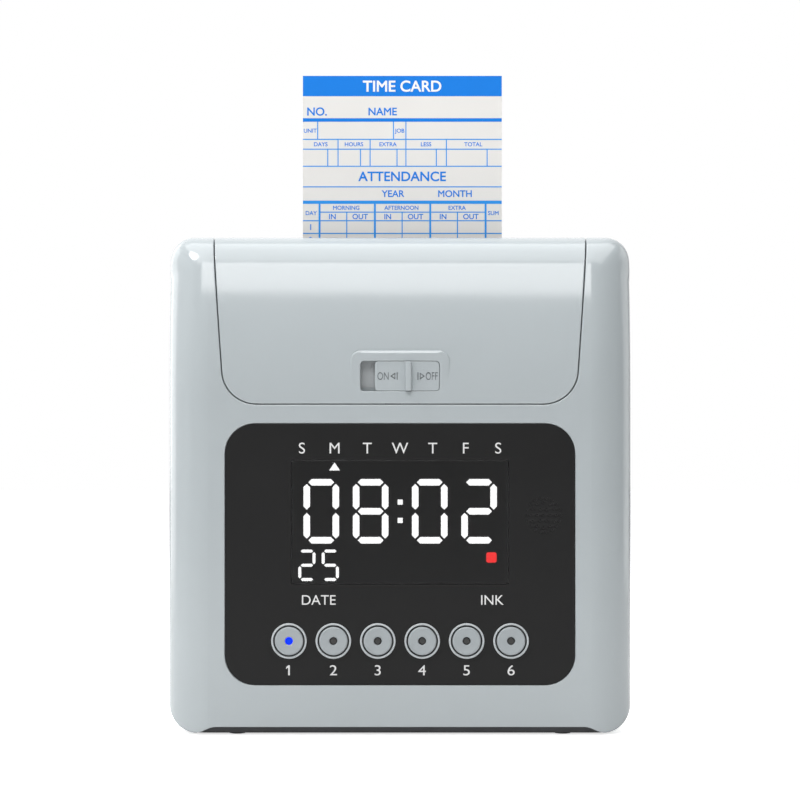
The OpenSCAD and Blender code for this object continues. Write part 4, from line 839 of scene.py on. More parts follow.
def cover_opening():
    """Cutting tool for the cover opening, with a rounded lip at the outer skin."""
    sizes = shape()
    before = 2 * mm
    behind = 3 * mm
    end = front_end_y + before
    rings = [cover_ring(-sizes.lip_round, -before, end)]
    rings += [cover_ring(-grow, depth, end) for grow, depth in lip_steps(sizes.lip_round)]
    rings.append(cover_ring(0, sizes.wall + behind, end))
    bm = bmesh.new()
    cover_skin(bm, rings)
    return new_piece("cutter", bm)


def round_parting(piece, plane_y, radius):
    """Rounds the outer rim of a shell where it meets the other shell."""
    bm = bmesh.new()
    bm.from_mesh(piece.data)
    middle = Vector((0, plane_y, (base_z + top_z) / 2))
    tolerance = 0.001 * mm
    rim = []
    for edge in bm.edges:
        if any(abs(vert.co.y - plane_y) > tolerance for vert in edge.verts):
            continue
        walls = [face for face in edge.link_faces if abs(face.normal.y) < 0.9]
        if len(walls) == 1 and len(edge.link_faces) == 2:
            outward = (edge.verts[0].co + edge.verts[1].co) / 2 - middle
            if walls[0].normal.dot(outward) > 0:
                rim.append(edge)
    bmesh.ops.bevel(bm, geom=rim, offset=radius, segments=2, profile=0.5, affect="EDGES")
    bm.to_mesh(piece.data)
    bm.free()


def panel_outline(grow):
    """Outline of the panel's recess, grown by a rim."""
    sizes = shape()
    out = sizes.panel_gap + grow
    return soft_rect(panel_low.x - out, panel_high.x + out, panel_low.z - out, panel_high.z + out,
                     sizes.panel_round + out)


def button_bore():
    """Radius of the bore round each button."""
    low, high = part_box(button_names[0])
    return (high.x - low.x) / 2 - shape().button_flange + shape().button_gap


def shell_halves():
    """Front and rear part of the hollow case, still without their openings."""
    sizes = shape()
    hollow = case_solid(0)
    carve(hollow, case_solid(sizes.wall))
    reach = half_width - sizes.heel_round
    past = 2 * mm
    carve(hollow, box_cutter((-reach, front_y + sizes.wall, base_z - past),
                             (reach, rear_y - sizes.wall, base_z + sizes.wall + past)))
    rear = hollow.copy()
    rear.data = hollow.data.copy()
    bpy.context.scene.collection.objects.link(rear)
    far = 2 * half_width
    carve(hollow, box_cutter((-far, front_end_y, -far), (far, far, 2 * far)))
    carve(rear, box_cutter((-far, -far, -far), (far, rear_start_y, 2 * far)))
    hollow.name = "front_shell"
    rear.name = "rear_shell"
    return hollow, rear


def skirt_cutter():
    """Cutting tool for the low arch in the front edge that lets the base show."""
    sizes = shape()
    end = half_width - sizes.heel_round + 1 * mm
    run = 9 * mm
    steps = 8
    past = 2 * mm
    under = base_z - 3 * mm
    rise = []
    for k in range(steps + 1):
        height = sizes.skirt_gap * 0.5 * (1 + math.cos(math.pi * k / steps))
        rise.append((end - run * (1 - k / steps), base_z + height))
    outline = [(-x, z) for x, z in reversed(rise)] + rise + [(end, under), (-end, under)]
    return cutter([outline], front_y - past, front_y + sizes.wall + past)


def shell_screw(side):
    """Place in X and Z of a screw that joins the shells."""
    sizes = shape()
    return side * (half_width - sizes.wall - post_inset), top_z - sizes.crown_round - post_drop


def base_screw_x():
    """Distance of the base screws from the middle of the case."""
    return half_width - shape().heel_round - base_post_inset


def base_post(bm, side, y):
    """Post over the base plate for one of its screws."""
    round_post(bm, "Z", (side * base_screw_x(), y, 0), post_radius, base_post_low, base_post_high)


def panel_backing(bm):
    """Backing behind the panel, open for the display, the buttons and the speaker."""
    sizes = shape()
    margin = 3 * mm
    inset = 1 * mm
    corner = 1 * mm
    speaker_hole = 8 * mm
    seat = panel_high.y
    outline = soft_rect(panel_low.x - margin, panel_high.x + margin, panel_low.z - margin,
                        panel_high.z + margin, sizes.panel_round)
    loops = [outline, soft_rect(lens_low.x + inset, lens_high.x - inset, lens_low.z + inset,
                                lens_high.z - inset, corner)]
    loops += [circle(middle.x, middle.z, button_bore()) for middle in button_middles]
    loops.append(circle(speaker_middle.x, speaker_middle.z, speaker_hole))
    plate(bm, loops, seat, seat + sizes.wall, 0.2 * mm)


def cover_ledge(bm):
    """Ledge behind the cover's lower edge, with a notch for the latch and a thin lip across the notch."""
    sizes = shape()
    edge = sizes.cover_low
    half = sizes.cover_low_width / 2 - sizes.cover_corner - 3 * mm
    back = front_y + sizes.wall + 2.4 * mm
    thick = 2 * mm
    root = edge - 3 * mm
    notch_left = -0.4 * mm - sizes.latch_travel
    notch_right = 8.1 * mm
    foot = edge - 8 * mm
    shelf = edge - 2 * mm
    crest = edge + 2.2 * mm
    block(bm, (-half, front_y + sizes.wall / 2, foot), (half, back, shelf))
    for left, right in ((-half, notch_left), (notch_right, half)):
        block(bm, (left, back - thick, root), (right, back, crest))
    lip = front_y + sizes.wall + 0.1 * mm
    lip_thick = 0.4 * mm
    lip_crest = edge + 0.25 * mm
    lip_soft = 0.1 * mm
    lap = 1 * mm
    block(bm, (notch_left - lap, lip, root), (notch_right + lap, lip + lip_thick, lip_crest), lip_soft)


def front_fittings():
    """Backing behind the panel, ledge behind the cover's edge, screw posts and hinge lugs."""
    sizes = shape()
    bm = bmesh.new()
    panel_backing(bm)
    cover_ledge(bm)
    bore = 1.2 * mm
    lug_radius = sizes.barrel_round - 0.1 * mm
    lug_x = sizes.cover_top_width / 2 + 3.4 * mm
    lug_half = 3.6 * mm
    post_long = 18 * mm
    for side in (-1, 1):
        round_post(bm, "X", (side * lug_x, hinge_middle.y, hinge_middle.z), lug_radius, -lug_half, lug_half,
                   bore=bore)
        base_post(bm, side, front_y + sizes.wall + post_inset)
        x, z = shell_screw(side)
        round_post(bm, "Y", (x, 0, z), post_radius, front_end_y - post_long, front_end_y, bore=bore)
    return bm


def make_front_shell(piece):
    """Front shell with the cover opening, the panel's recess, the skirt and its inner fittings."""
    sizes = shape()
    recess_end = front_y + sizes.wall + 1 * mm
    recess = rimmed_cutter(panel_outline, front_y, recess_end, sizes.lip_round, True)
    carve(piece, cover_opening(), recess, skirt_cutter())
    round_parting(piece, front_end_y, parting_round)
    joined(front_fittings(), piece)
    fit(piece, "case", "front_housing")


def keyhole_outline(x, z):
    """Outline of one keyhole, grown by a rim."""
    wide = 4.5 * mm
    narrow = 2.25 * mm
    rise = 8 * mm

    def grown(grow):
        big = wide + grow
        small = narrow + grow
        start = math.degrees(math.asin(small / big))
        low = arc(x, z, big, 90 + start, 450 - start, 28)
        high = arc(x, z + rise, small, 0, 180, 12)
        return low + high

    return grown


def vent_outline(x, z):
    """Outline of one upright vent slot, grown by a rim."""
    wide = 1.5 * mm
    high = 7 * mm

    def grown(grow):
        r = wide + grow
        return arc(x, z - high + wide, r, 180, 360, 10) + arc(x, z + high - wide, r, 0, 180, 10)

    return grown


def round_outline(x, z, radius):
    """Outline of a round hole, grown by a rim."""
    return lambda grow: circle(x, z, radius + grow, 36)


def label_outline(grow):
    """Outline of the plain label recess, grown by a rim."""
    half = 32 * mm
    low = 75 * mm
    high = 109 * mm
    corner = 2 * mm
    return soft_rect(-half - grow, half + grow, low - grow, high + grow, corner + grow)


def rear_openings():
    """Cutting tools for the back and the top: keyholes, vents, screws, power inlet, label and card slot."""
    sizes = shape()
    past = 1 * mm
    inner = rear_y - sizes.wall - past
    rim = 0.4 * mm
    keyhole_x = 55 * mm
    keyhole_z = 150 * mm
    vent_count = 9
    vent_pitch = 8 * mm
    vent_z = 134 * mm
    jack = box_middle("power_jack")
    jack_hole = 5.15 * mm
    outlines = [keyhole_outline(side * keyhole_x, keyhole_z) for side in (-1, 1)]
    outlines += [vent_outline((k - vent_count // 2) * vent_pitch, vent_z) for k in range(vent_count)]
    outlines += [round_outline(*shell_screw(side), screw_hole) for side in (-1, 1)]
    outlines.append(round_outline(jack.x, jack.z, jack_hole))
    tools = [rimmed_cutter(outline, inner, rear_y, rim, False) for outline in outlines]
    label_depth = 0.4 * mm
    label_rim = 0.2 * mm
    tools.append(rimmed_cutter(label_outline, rear_y - label_depth, rear_y, label_rim, False))
    lap_x = 2.9 * mm
    lap_y = 1.3 * mm
    slot = soft_rect(throat_low.x + lap_x, throat_high.x - lap_x, throat_low.y + lap_y,
                     throat_high.y - lap_y, 1 * mm)
    tools.append(cutter([slot], top_z - sizes.wall - past, top_z + past, lying=True))
    return tools


def rear_fittings():
    """Posts inside the rear shell for the shell screws, the base screws and the main board."""
    sizes = shape()
    bm = bmesh.new()
    inner = rear_y - sizes.wall / 2
    seat = rear_start_y + 9.8 * mm
    lap = 0.05 * mm
    thread_bore = 1.35 * mm
    board_low, board_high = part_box("main_board")
    board_post = 3 * mm
    for side in (-1, 1):
        x, z = shell_screw(side)
        round_post(bm, "Y", (x, 0, z), post_radius, rear_start_y, seat + lap, bore=thread_bore)
        round_post(bm, "Y", (x, 0, z), post_radius, seat, inner, bore=screw_hole)
        base_post(bm, side, rear_y - sizes.wall - post_inset)
        board_x = side * (board_high.x - board_inset)
        for board_z in (board_low.z + board_inset, board_high.z - board_inset):
            round_post(bm, "Y", (board_x, 0, board_z), board_post, board_high.y, inner)
    return bm


def make_rear_shell(piece):
    """Rear shell with its openings and posts."""
    carve(piece, *rear_openings())
    round_parting(piece, rear_start_y, parting_round)
    joined(rear_fittings(), piece)
    fit(piece, "case", "rear_housing")


# Cover and latch

def latch_middle():
    """Height of the middle of the latch window."""
    return shape().window_low + shape().window_height / 2


def latch_field():
    """Raised flat field round the latch window."""
    sizes = shape()
    half = sizes.window_width / 2 + sizes.field_margin
    low = sizes.window_low + 1 * mm
    high = sizes.window_low + sizes.window_height + sizes.field_margin
    corner = 1.1 * sizes.field_margin
    edge = 1.1 * mm
    bm = bmesh.new()
    plate(bm, [soft_rect(-half, half, low, high, corner)], front_y, front_y + sizes.wall, edge)
    return new_piece("field", bm, finish("case_grey"))


def window_outline(grow):
    """Outline of the latch window, grown by a rim."""
    half = shape().window_width / 2 + grow
    tall = shape().window_height / 2 + grow
    corner = 1.6 * mm
    return soft_rect(-half, half, latch_middle() - tall, latch_middle() + tall, corner + grow)


def cover_fittings():
    """Hinge barrel, pillars staked to the latch retainer, and a plate behind the window's open end."""
    sizes = shape()
    bm = bmesh.new()
    reach = sizes.cover_top_width / 2 - sizes.seam - 0.3 * mm
    pin_bore = 1.25 * mm
    round_post(bm, "X", (0, hinge_middle.y, hinge_middle.z), sizes.barrel_round, -reach, reach,
               bore=pin_bore)
    low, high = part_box("latch_retainer")
    half = 2 * mm
    tall = 4 * mm
    z = latch_middle() + 2 * mm
    stake = 1.7 * mm
    stake_head = 0.8 * mm
    for x in (low.x + half, high.x - half):
        block(bm, (x - half, front_y + sizes.wall / 2, z - tall), (x + half, low.y, z + tall))
        round_post(bm, "Y", (x, 0, z), stake, high.y, high.y + stake_head)
    left = -sizes.window_width / 2
    slack = 0.1 * mm
    block(bm, (left - 2 * mm, low.y + slack, sizes.window_low - 2.4 * mm),
          (left + 9 * mm, high.y - slack, sizes.window_low + 4 * mm))
    return bm


def make_cover():
    """Printer cover with its rounded rim, raised latch field, window and hinge barrel."""
    sizes = shape()
    inner_edge = 0.3 * mm
    window_rim = 0.3 * mm
    end = hinge_middle.y
    lip = lip_steps(sizes.lip_round, 0)
    rings = [cover_ring(sizes.seam + grow, depth, end - grow) for grow, depth in lip]
    rings.append(cover_ring(sizes.seam, sizes.wall - inner_edge, end))
    rings.append(cover_ring(sizes.seam + inner_edge, sizes.wall, end - inner_edge))
    bm = bmesh.new()
    cover_skin(bm, rings)
    cover = new_piece("printer_cover", bm, finish("case_grey"))
    carve(cover, latch_field(), operation="UNION")
    carve(cover, rimmed_cutter(window_outline, front_y, front_y + sizes.wall + 3 * mm, window_rim, True))
    joined(cover_fittings(), cover)
    fit(cover, "cover", "top_cover")


def letter_mesh(words, height, weight):
    """Flat mesh of words in X and Y, centred, with capitals of a given height and thickened strokes."""
    meshes = []
    for body in ("H", words):
        curve = bpy.data.curves.new("letters", "FONT")
        curve.body = body
        curve.align_x = "CENTER"
        curve.extrude = 0.02
        curve.bevel_depth = weight
        curve.bevel_resolution = 0
        helper = bpy.data.objects.new("letters", curve)
        bpy.context.scene.collection.objects.link(helper)
        meshes.append(settled_mesh(helper))
        discard(helper)
    rule, mesh = meshes
    tall = max(vert.co.y for vert in rule.vertices)
    bpy.data.meshes.remove(rule)
    mesh.transform(Matrix.Scale(height / tall, 4) @ Matrix.Translation((0, -tall / 2, 0)))
    return mesh


def lettering(bm, words, height, x, z, low, high, back=False, width=1.0, weight=0.0):
    """Words standing in X and Z between two y values, read from the front or from the back."""
    mesh = letter_mesh(words, height, weight)
    deep = max(vert.co.z for vert in mesh.vertices)
    turn = Matrix.Rotation(math.pi if back else 0.0, 4, "Z") @ Matrix.Rotation(math.pi / 2, 4, "X")
    scale = Matrix.Diagonal((width, 1, (high - low) / (2 * deep), 1))
    mesh.transform(Matrix.Translation((x, (low + high) / 2, z)) @ turn @ scale)
    bm.from_mesh(mesh)
    bpy.data.meshes.remove(mesh)


def latch_marks(face):
    """Tools that engrave ON and OFF, with arrows, in the slider's face. Their darker finish, a copy of the
    case plastic, paints shade on the floors of the marks.
    """
    bm = bmesh.new()
    low = face - 0.5 * mm
    deep = face + 0.35 * mm
    edge = 0.001 * mm
    z = latch_middle()
    word_tall = 3.1 * mm
    arrow_half = 1.5 * mm
    bar_half = 0.2 * mm
    bar_reach = 1.6 * mm
    for text, x, narrow in (("ON", -6.9 * mm, 0.68), ("OFF", 13.0 * mm, 0.64)):
        lettering(bm, text, word_tall, x, z, low, deep, width=narrow)
    for tip, root in ((-4.0 * mm, -1.9 * mm), (10.2 * mm, 8.1 * mm)):
        outer = [(tip, z), (root, z + arrow_half), (root, z - arrow_half)]
        middle = (tip + 2 * root) / 3
        inner = [(middle + (x - middle) * 0.5, z + (up - z) * 0.5) for x, up in outer]
        plate(bm, [outer, inner], low, deep, edge)
        bar = root + (root - tip) * 0.35
        outline = soft_rect(bar - bar_half, bar + bar_half, z - bar_reach, z + bar_reach, 0.05 * mm, 2)
        plate(bm, [outline], low, deep, edge)
    return new_piece("cutter", bm, finish("engraved_grey"))


def make_latch():
    """Latch slider with engraved marks, a rounded finger rib, its flange and its tongue."""
    sizes = shape()
    slip = 0.15 * mm
    left = -sizes.window_width / 2 + sizes.latch_travel + slip
    right = sizes.window_width / 2 - slip
    low = sizes.window_low + slip
    high = sizes.window_low + sizes.window_height - slip
    face = front_y + 0.3 * mm
    back = front_y + sizes.wall + slip
    corner = 1.4 * mm
    lap_back = 0.8 * mm
    edge = 0.25 * mm
    bm = bmesh.new()
    plate(bm, [soft_rect(left, right, low, high, corner)], face, back + lap_back, edge)
    # The second finish comes in with the engraving tools and paints shade on the floors of the marks
    slider = new_piece("latch_button", bm, finish("case_grey"), finish("engraved_grey"))
    carve(slider, latch_marks(face))
    rib_x = left + (right - left) * 0.52
    rib_half = 1.25 * mm
    rib_edge = 0.5 * mm
    lap = 2 * mm
    flange_thick = 1.5 * mm
    flange_low = sizes.window_low - lap
    flange_high = sizes.window_low + sizes.window_height + lap
    arm_half = 3 * mm
    arm_high = flange_low + 3 * mm
    soft = 0.2 * mm
    more = bmesh.new()
    block(more, (rib_x - rib_half, slider_low.y, low), (rib_x + rib_half, front_y + sizes.wall, high),
          rib_edge)
    block(more, (left + 0.3 * mm, back, flange_low), (right + lap, back + flange_thick, flange_high), soft)
    block(more, (rib_x - arm_half, back, flange_low), (rib_x + arm_half, slider_high.y, arm_high), soft)
    block(more, (rib_x - arm_half, slider_high.y - flange_thick, slider_low.z),
          (rib_x + arm_half, slider_high.y, arm_high), soft)
    joined(more, slider)
    fit(slider, "latch", "latch_slider")


# Panel, display and buttons

def grille_places():
    """Middles of the holes in front of the speaker."""
    places = []
    for count, radius in grille_rings:
        for k in range(count):
            a = 2 * math.pi * k / count
            places.append((speaker_middle.x + radius * math.cos(a), speaker_middle.z + radius * math.sin(a)))
    return places


def make_panel():
    """Dark front panel with its window, button holes and speaker holes, and the display window's lens."""
    sizes = shape()
    gap = sizes.panel_gap
    ring_lap = 0.3 * mm
    sleeve = ring_high.x - button_middles[-1].x - ring_lap
    corner = 1 * mm
    soft = 0.12 * mm
    loops = [soft_rect(panel_low.x, panel_high.x, panel_low.z, panel_high.z, sizes.panel_round, 14)]
    loops.append(soft_rect(lens_low.x - gap, lens_high.x + gap, lens_low.z - gap, lens_high.z + gap, corner))
    loops += [circle(middle.x, middle.z, sleeve, 40) for middle in button_middles]
    loops += [circle(x, z, grille_hole, 12) for x, z in grille_places()]
    bm = bmesh.new()
    plate(bm, loops, panel_low.y, panel_high.y, soft)
    fit(new_piece("panel", bm, finish("panel_black")), "case", "front_panel")
    outline = soft_rect(lens_low.x, lens_high.x, lens_low.z, lens_high.z, corner)
    lens = bmesh.new()
    plate(lens, [outline], lens_low.y, lens_high.y, soft)
    back = lens_high.y - 0.05 * mm
    for face in lens.faces:
        face.material_index = 1 if face.calc_center_median().y > back else 0
    fit(new_piece("window_lens", lens, finish("lens_smoke"), finish("lens_clear")), "case", "display_lens")


def make_speaker_cloth():
    """Dust cloth behind the speaker holes, pressed a little way into each of them."""
    radius = 7.9 * mm
    slack = 0.02 * mm
    thick = 0.4 * mm
    soft = 0.1 * mm
    plug = grille_hole - 0.05 * mm
    plug_soft = 0.15 * mm
    sink = 0.2 * mm
    bm = bmesh.new()
    plate(bm, [circle(speaker_middle.x, speaker_middle.z, radius, 48)], panel_high.y + slack,
          panel_high.y + thick, soft)
    for x, z in grille_places():
        round_post(bm, "Y", (x, 0, z), plug, panel_low.y + sink, panel_high.y + sink, plug_soft, steps=12)
    fit(new_piece("speaker_cloth", bm, finish("speaker_cloth")), "case")


def lead_stroke(bm, x, z, tall, low, high):
    """Short slanted stroke into the top of a figure 1."""
    edge = x - tall * 0.08
    tip = edge - tall * 0.2
    top = z + tall / 2
    outline = [(edge, top), (tip, top - tall * 0.2), (tip, top - tall * 0.38), (edge, top - tall * 0.22)]
    plate(bm, [outline], low, high, 0.001 * mm)


class PanelPrint:
    """Heights and places of what is printed on the panel."""
    days = "SMTWTFS"
    day_tall = 4.4 * mm
    day_pitch = 13.4 * mm
    day_z = 117.6 * mm
    figure_tall = 4.1 * mm
    figure_stretch = 1.15
    figure_z = 26.6 * mm
    words = (("DATE", -33.4 * mm), ("INK", 37.6 * mm))
    word_tall = 3.9 * mm
    word_z = 55.4 * mm
    sink = 0.02 * mm


def make_panel_print():
    """Marks printed on the panel: days, figures under the buttons and two key words."""
    marks = PanelPrint
    low = panel_low.y - shape().print_lift
    high = panel_low.y + marks.sink
    bm = bmesh.new()
    for k, day in enumerate(marks.days):
        x = (k - len(marks.days) // 2) * marks.day_pitch
        lettering(bm, day, marks.day_tall, x, marks.day_z, low, high)
    for number, middle in enumerate(button_middles, 1):
        lettering(bm, str(number), marks.figure_tall, middle.x, marks.figure_z, low, high,
                  width=marks.figure_stretch)
    lead_stroke(bm, button_middles[0].x, marks.figure_z, marks.figure_tall, low, high)
    for text, x in marks.words:
        lettering(bm, text, marks.word_tall, x, marks.word_z, low, high)
    piece = new_piece("panel_print", bm, finish("panel_marks"))
    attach(piece, "case")


def make_button(name, middle):
    """Push button: dished cap with a rounded rim, a hole for its lamp and a flange behind the panel. Its
    faces behind the cap's front take a dark finish that paints the shade of the groove round the cap.
    """
    low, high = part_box(name)
    wide = (high.x - low.x) / 2
    skirt = wide - shape().button_flange
    cap = skirt - 0.25 * mm
    cap_back = low.y + 1.3 * mm
    step = 0.1 * mm
    hole = 1.6 * mm
    chamfer = 0.3 * mm
    flange = high.y - 1.2 * mm
    dish = 0.25 * mm
    shoulder = 0.35 * mm
    rim = 0.55 * mm
    rim_steps = 5
    soft = 0.2 * mm
    profile = [(hole, high.y), (hole, low.y + dish + chamfer), (hole + chamfer, low.y + dish)]
    profile += [(cap * 0.6, low.y + dish * 0.7), (cap - rim - shoulder, low.y + dish * 0.15)]
    profile += [(cap - rim + rim * math.sin(a), low.y + rim - rim * math.cos(a))
                for a in [math.pi / 2 * k / rim_steps for k in range(rim_steps + 1)]]
    profile += [(cap, cap_back), (skirt, cap_back + step), (skirt, flange), (wide - soft, flange)]
    profile += [(wide, flange + soft), (wide, high.y - soft), (wide - soft, high.y)]
    bm = bmesh.new()
    turned(bm, profile, "Y", (middle.x, 0, middle.z), 56)
    # Faces behind the cap's front, skirt and flange among them, take the dark finish: painted shade of the
    # groove between cap and ring
    for face in bm.faces:
        face.material_index = 1 if face.calc_center_median().y > low.y + rim + soft else 0
    fit(new_piece(name + "_cap", bm, finish("button_grey"), finish("button_skirt")), name, name)


def point_row(tree, given):
    """Points in a straight row, by the count, the start and the pitch given to a tree."""
    inputs = {"Count": given["Count"], "Start Location": given["Start"], "Offset": given["Pitch"]}
    return add(tree, "GeometryNodeMeshLine", inputs).outputs[0]


def set_out(tree, points, pattern, given, result, turn=None):
    """Ends a tree: sets a pattern on points, makes the copies real and gives them their material."""
    inputs = {"Points": points, "Instance": pattern}
    if turn is not None:
        inputs["Rotation"] = turn
    spread = add(tree, "GeometryNodeInstanceOnPoints", inputs)
    real = add(tree, "GeometryNodeRealizeInstances", {"Geometry": spread.outputs[0]})
    painted = add(tree, "GeometryNodeSetMaterial",
                  {"Geometry": real.outputs[0], "Material": given["Material"]})
    tree.links.new(painted.outputs[0], result["Geometry"])


def ring_tree():
    """Geometry nodes for a row of rings: a soft band and a sleeve swept round a circle at each place."""
    tree, given, result = new_group(
        "Button rings", "GeometryNodeTree",
        {"Count": "count", "Pitch": "vector", "Start": "vector", "Bore": "value", "Band": "value",
         "Band height": "value", "Sleeve": "value", "Sleeve height": "value", "Soft edge": "value",
         "Material": "material"},
        {"Geometry": "shape"})
    join = tree.nodes.new("GeometryNodeJoinGeometry")
    for width, height, sink in (("Band", "Band height", 0.0), ("Sleeve", "Sleeve height", 1.0)):
        middle = math_node(tree, "MULTIPLY_ADD", given[width], 0.5, given["Bore"])
        path = add(tree, "GeometryNodeCurvePrimitiveCircle", {"Resolution": 56, "Radius": middle})
        outline = add(tree, "GeometryNodeCurvePrimitiveQuadrilateral",
                      {"Width": given[width], "Height": given[height]})
        soft = add(tree, "GeometryNodeFilletCurve",
                   {"Curve": outline.outputs[0], "Radius": given["Soft edge"], "Count": 4,
                    "Limit Radius": True}, mode="POLY")
        band = add(tree, "GeometryNodeCurveToMesh",
                   {"Curve": path.outputs[0], "Profile Curve": soft.outputs[0]})
        lift = math_node(tree, "MULTIPLY_ADD", given[height], -0.5, 0.0)
        drop = math_node(tree, "MULTIPLY", given["Band height"], -sink)
        place = add(tree, "ShaderNodeCombineXYZ", {"Z": math_node(tree, "ADD", lift, drop)})
        moved = add(tree, "GeometryNodeTransform",
                    {"Geometry": band.outputs[0], "Translation": place.outputs[0]})
        tree.links.new(moved.outputs[0], join.inputs[0])
    upright = Euler((math.pi / 2, 0, 0))
    set_out(tree, point_row(tree, given), join.outputs[0], given, result, upright)
    return tree


def node_piece(name, tree, values, base=None):
    """Piece made by a geometry node tree from named input values, as a plain mesh."""
    bm = bmesh.new()
    for point in base or ():
        bm.verts.new(point)
    piece = new_piece(name, bm)
    nodes = piece.modifiers.new("nodes", "NODES")
    nodes.node_group = tree
    for item in tree.interface.items_tree:
        if item.in_out == "INPUT" and item.name in values:
            nodes[item.identifier] = values[item.name]
    settle(piece)
    bm = bmesh.new()
    bm.from_mesh(piece.data)
    bmesh.ops.remove_doubles(bm, verts=bm.verts, dist=merge_gap)
    bmesh.ops.recalc_face_normals(bm, faces=bm.faces)
    bm.to_mesh(piece.data)
    bm.free()
    return piece


def make_rings():
    """Six bright rings round the buttons."""
    first = button_middles[0]
    pitch = button_middles[1] - first
    outer = ring_high.x - button_middles[-1].x
    slack = 0.05 * mm
    bore = button_bore() + slack
    band_height = 0.7 * mm
    values = {"Count": len(button_names), "Start": (first.x, ring_low.y, first.z), "Pitch": (pitch.x, 0, 0),
              "Bore": bore, "Band": outer - bore, "Band height": band_height,
              "Sleeve": 0.3 * mm, "Sleeve height": ring_high.y - ring_low.y - band_height,
              "Soft edge": 0.34 * mm, "Material": finish("ring_satin")}
    fit(node_piece("button_ring_set", ring_tree(), values), "case", "button_rings")


# Card and card slot

def make_card():
    """Time card with softly rounded corners."""
    corner = 1.2 * mm
    edge = 0.06 * mm
    outline = soft_rect(card_low.x, card_high.x, card_low.z, card_high.z, corner, 6)
    bm = bmesh.new()
    plate(bm, [outline], card_low.y, card_high.y, edge)
    fit(new_piece("punch_card", bm, finish("card_paper")), "card", "time_card")


class CardForm:
    """Printed form on one face of the card. Places are counted across and down from its top left corner.

    The rows of columns and words hold plain numbers of millimetres."""
    header = 8.7 * mm
    title = 4.6 * mm
    heavy_line = (18.1 * mm, 19.6 * mm)
    title_lines = (26.9 * mm, 31.1 * mm, 38.4 * mm, 47.2 * mm)
    table_line = (53.3 * mm, 54.7 * mm)
    table_heads = (58.0 * mm, 61.9 * mm)
    row_pitch = 5.42 * mm
    row_count = 22
    day_column = 6.7 * mm
    day_number = 2.4 * mm
    group_width = 23.65 * mm
    group_count = 3
    thin = 0.46 * mm
    heavy = 0.85 * mm
    stroke = 0.02
    sink = 0.01 * mm
    # Columns between the heavy line and the first title line, and under that line and the next
    upper_columns = ((6.1, 38.5, 43.8), (14.8, 28.5, 43.8, 61.1),
                     (10.4, 14.8, 24.4, 28.5, 40.0, 43.8, 56.8, 61.1, 78.5))
    # Word, height and place of the headings, and word and place of the small words
    headings = (("NO.", 3.4, 6.0, 15.2), ("NAME", 3.2, 34.0, 15.2), ("YEAR", 2.8, 38.5, 50.3),
                ("MONTH", 2.8, 65.0, 50.3))
    small_words = (("UNIT", 3.1, 23.4), ("JOB", 41.4, 23.4), ("DAYS", 7.6, 29.2), ("HOURS", 21.8, 29.2),
                   ("EXTRA", 36.3, 29.2), ("LESS", 52.6, 29.2), ("TOTAL", 72.8, 29.2), ("DAY", 3.5, 58.6),
                   ("SUM", 81.4, 58.6))
    group_words = ("MORNING", "AFTERNOON", "EXTRA")
    small = 1.7 * mm
    attendance = 4.0 * mm
    attendance_down = 42.9 * mm
    in_out = 2.2 * mm
    in_out_down = 60.1 * mm


def card_bars():
    """Heavy and thin bars of the form, in card places: across from the left and down from the top."""
    form = CardForm
    wide = card_high.x - card_low.x
    foot = form.table_heads[1] + form.row_count * form.row_pitch
    heavy = [(0, wide, 0, form.header), (0, wide, *form.heavy_line)]
    thin = [(0, wide, down, down + form.thin) for down in form.title_lines]
    head = form.table_heads[0]
    thin.append((form.day_column, wide - form.day_column, head, head + form.thin))
    rule = [(0, wide, *form.table_line)]
    bands = (form.heavy_line[0], *form.title_lines)
    for top, low, places in zip(bands, bands[1:], form.upper_columns):
        thin += [(x * mm, x * mm + form.thin, top, low) for x in places]
    for k in range(form.group_count + 1):
        x = form.day_column + k * form.group_width
        rule.append((x, x + form.heavy, form.table_line[0], foot))
        if k < form.group_count:
            middle = x + form.group_width / 2
            thin.append((middle, middle + form.thin, head, foot))
    return heavy, thin + rule


def row_tree():
    """Geometry nodes for ruled rows: one thin bar repeated down the card."""
    tree, given, result = new_group(
        "Ruled rows", "GeometryNodeTree",
        {"Count": "count", "Start": "vector", "Pitch": "vector", "Bar": "vector", "Material": "material"},
        {"Geometry": "shape"})
    bar = add(tree, "GeometryNodeMeshCube", {"Size": given["Bar"]})
    set_out(tree, point_row(tree, given), bar.outputs[0], given, result)
    return tree


def card_place(across, down, back):
    """Point of the card's face, in X and Z."""
    x = card_high.x - across if back else card_low.x + across
    return x, card_high.z - down


def print_bars(name, bars, ink, side, planes, back):
    """Piece of printed bars on one face of the card."""
    corner = 0.03 * mm
    edge = 0.002 * mm
    bm = bmesh.new()
    for left, right, top, low in bars:
        x0, z1 = card_place(left, top, back)
        x1, z0 = card_place(right, low, back)
        upright = low - top > right - left
        # Upright bars lie a little deeper, so that no two faces coincide where bars cross
        sink = 0.005 * mm if upright else 0.0
        outline = soft_rect(min(x0, x1), max(x0, x1), z0, z1, corner, 1)
        plate(bm, [outline], planes[0] + sink, planes[1] - sink, edge)
    piece = new_piece(name + side, bm, finish(ink))
    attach(piece, "card")


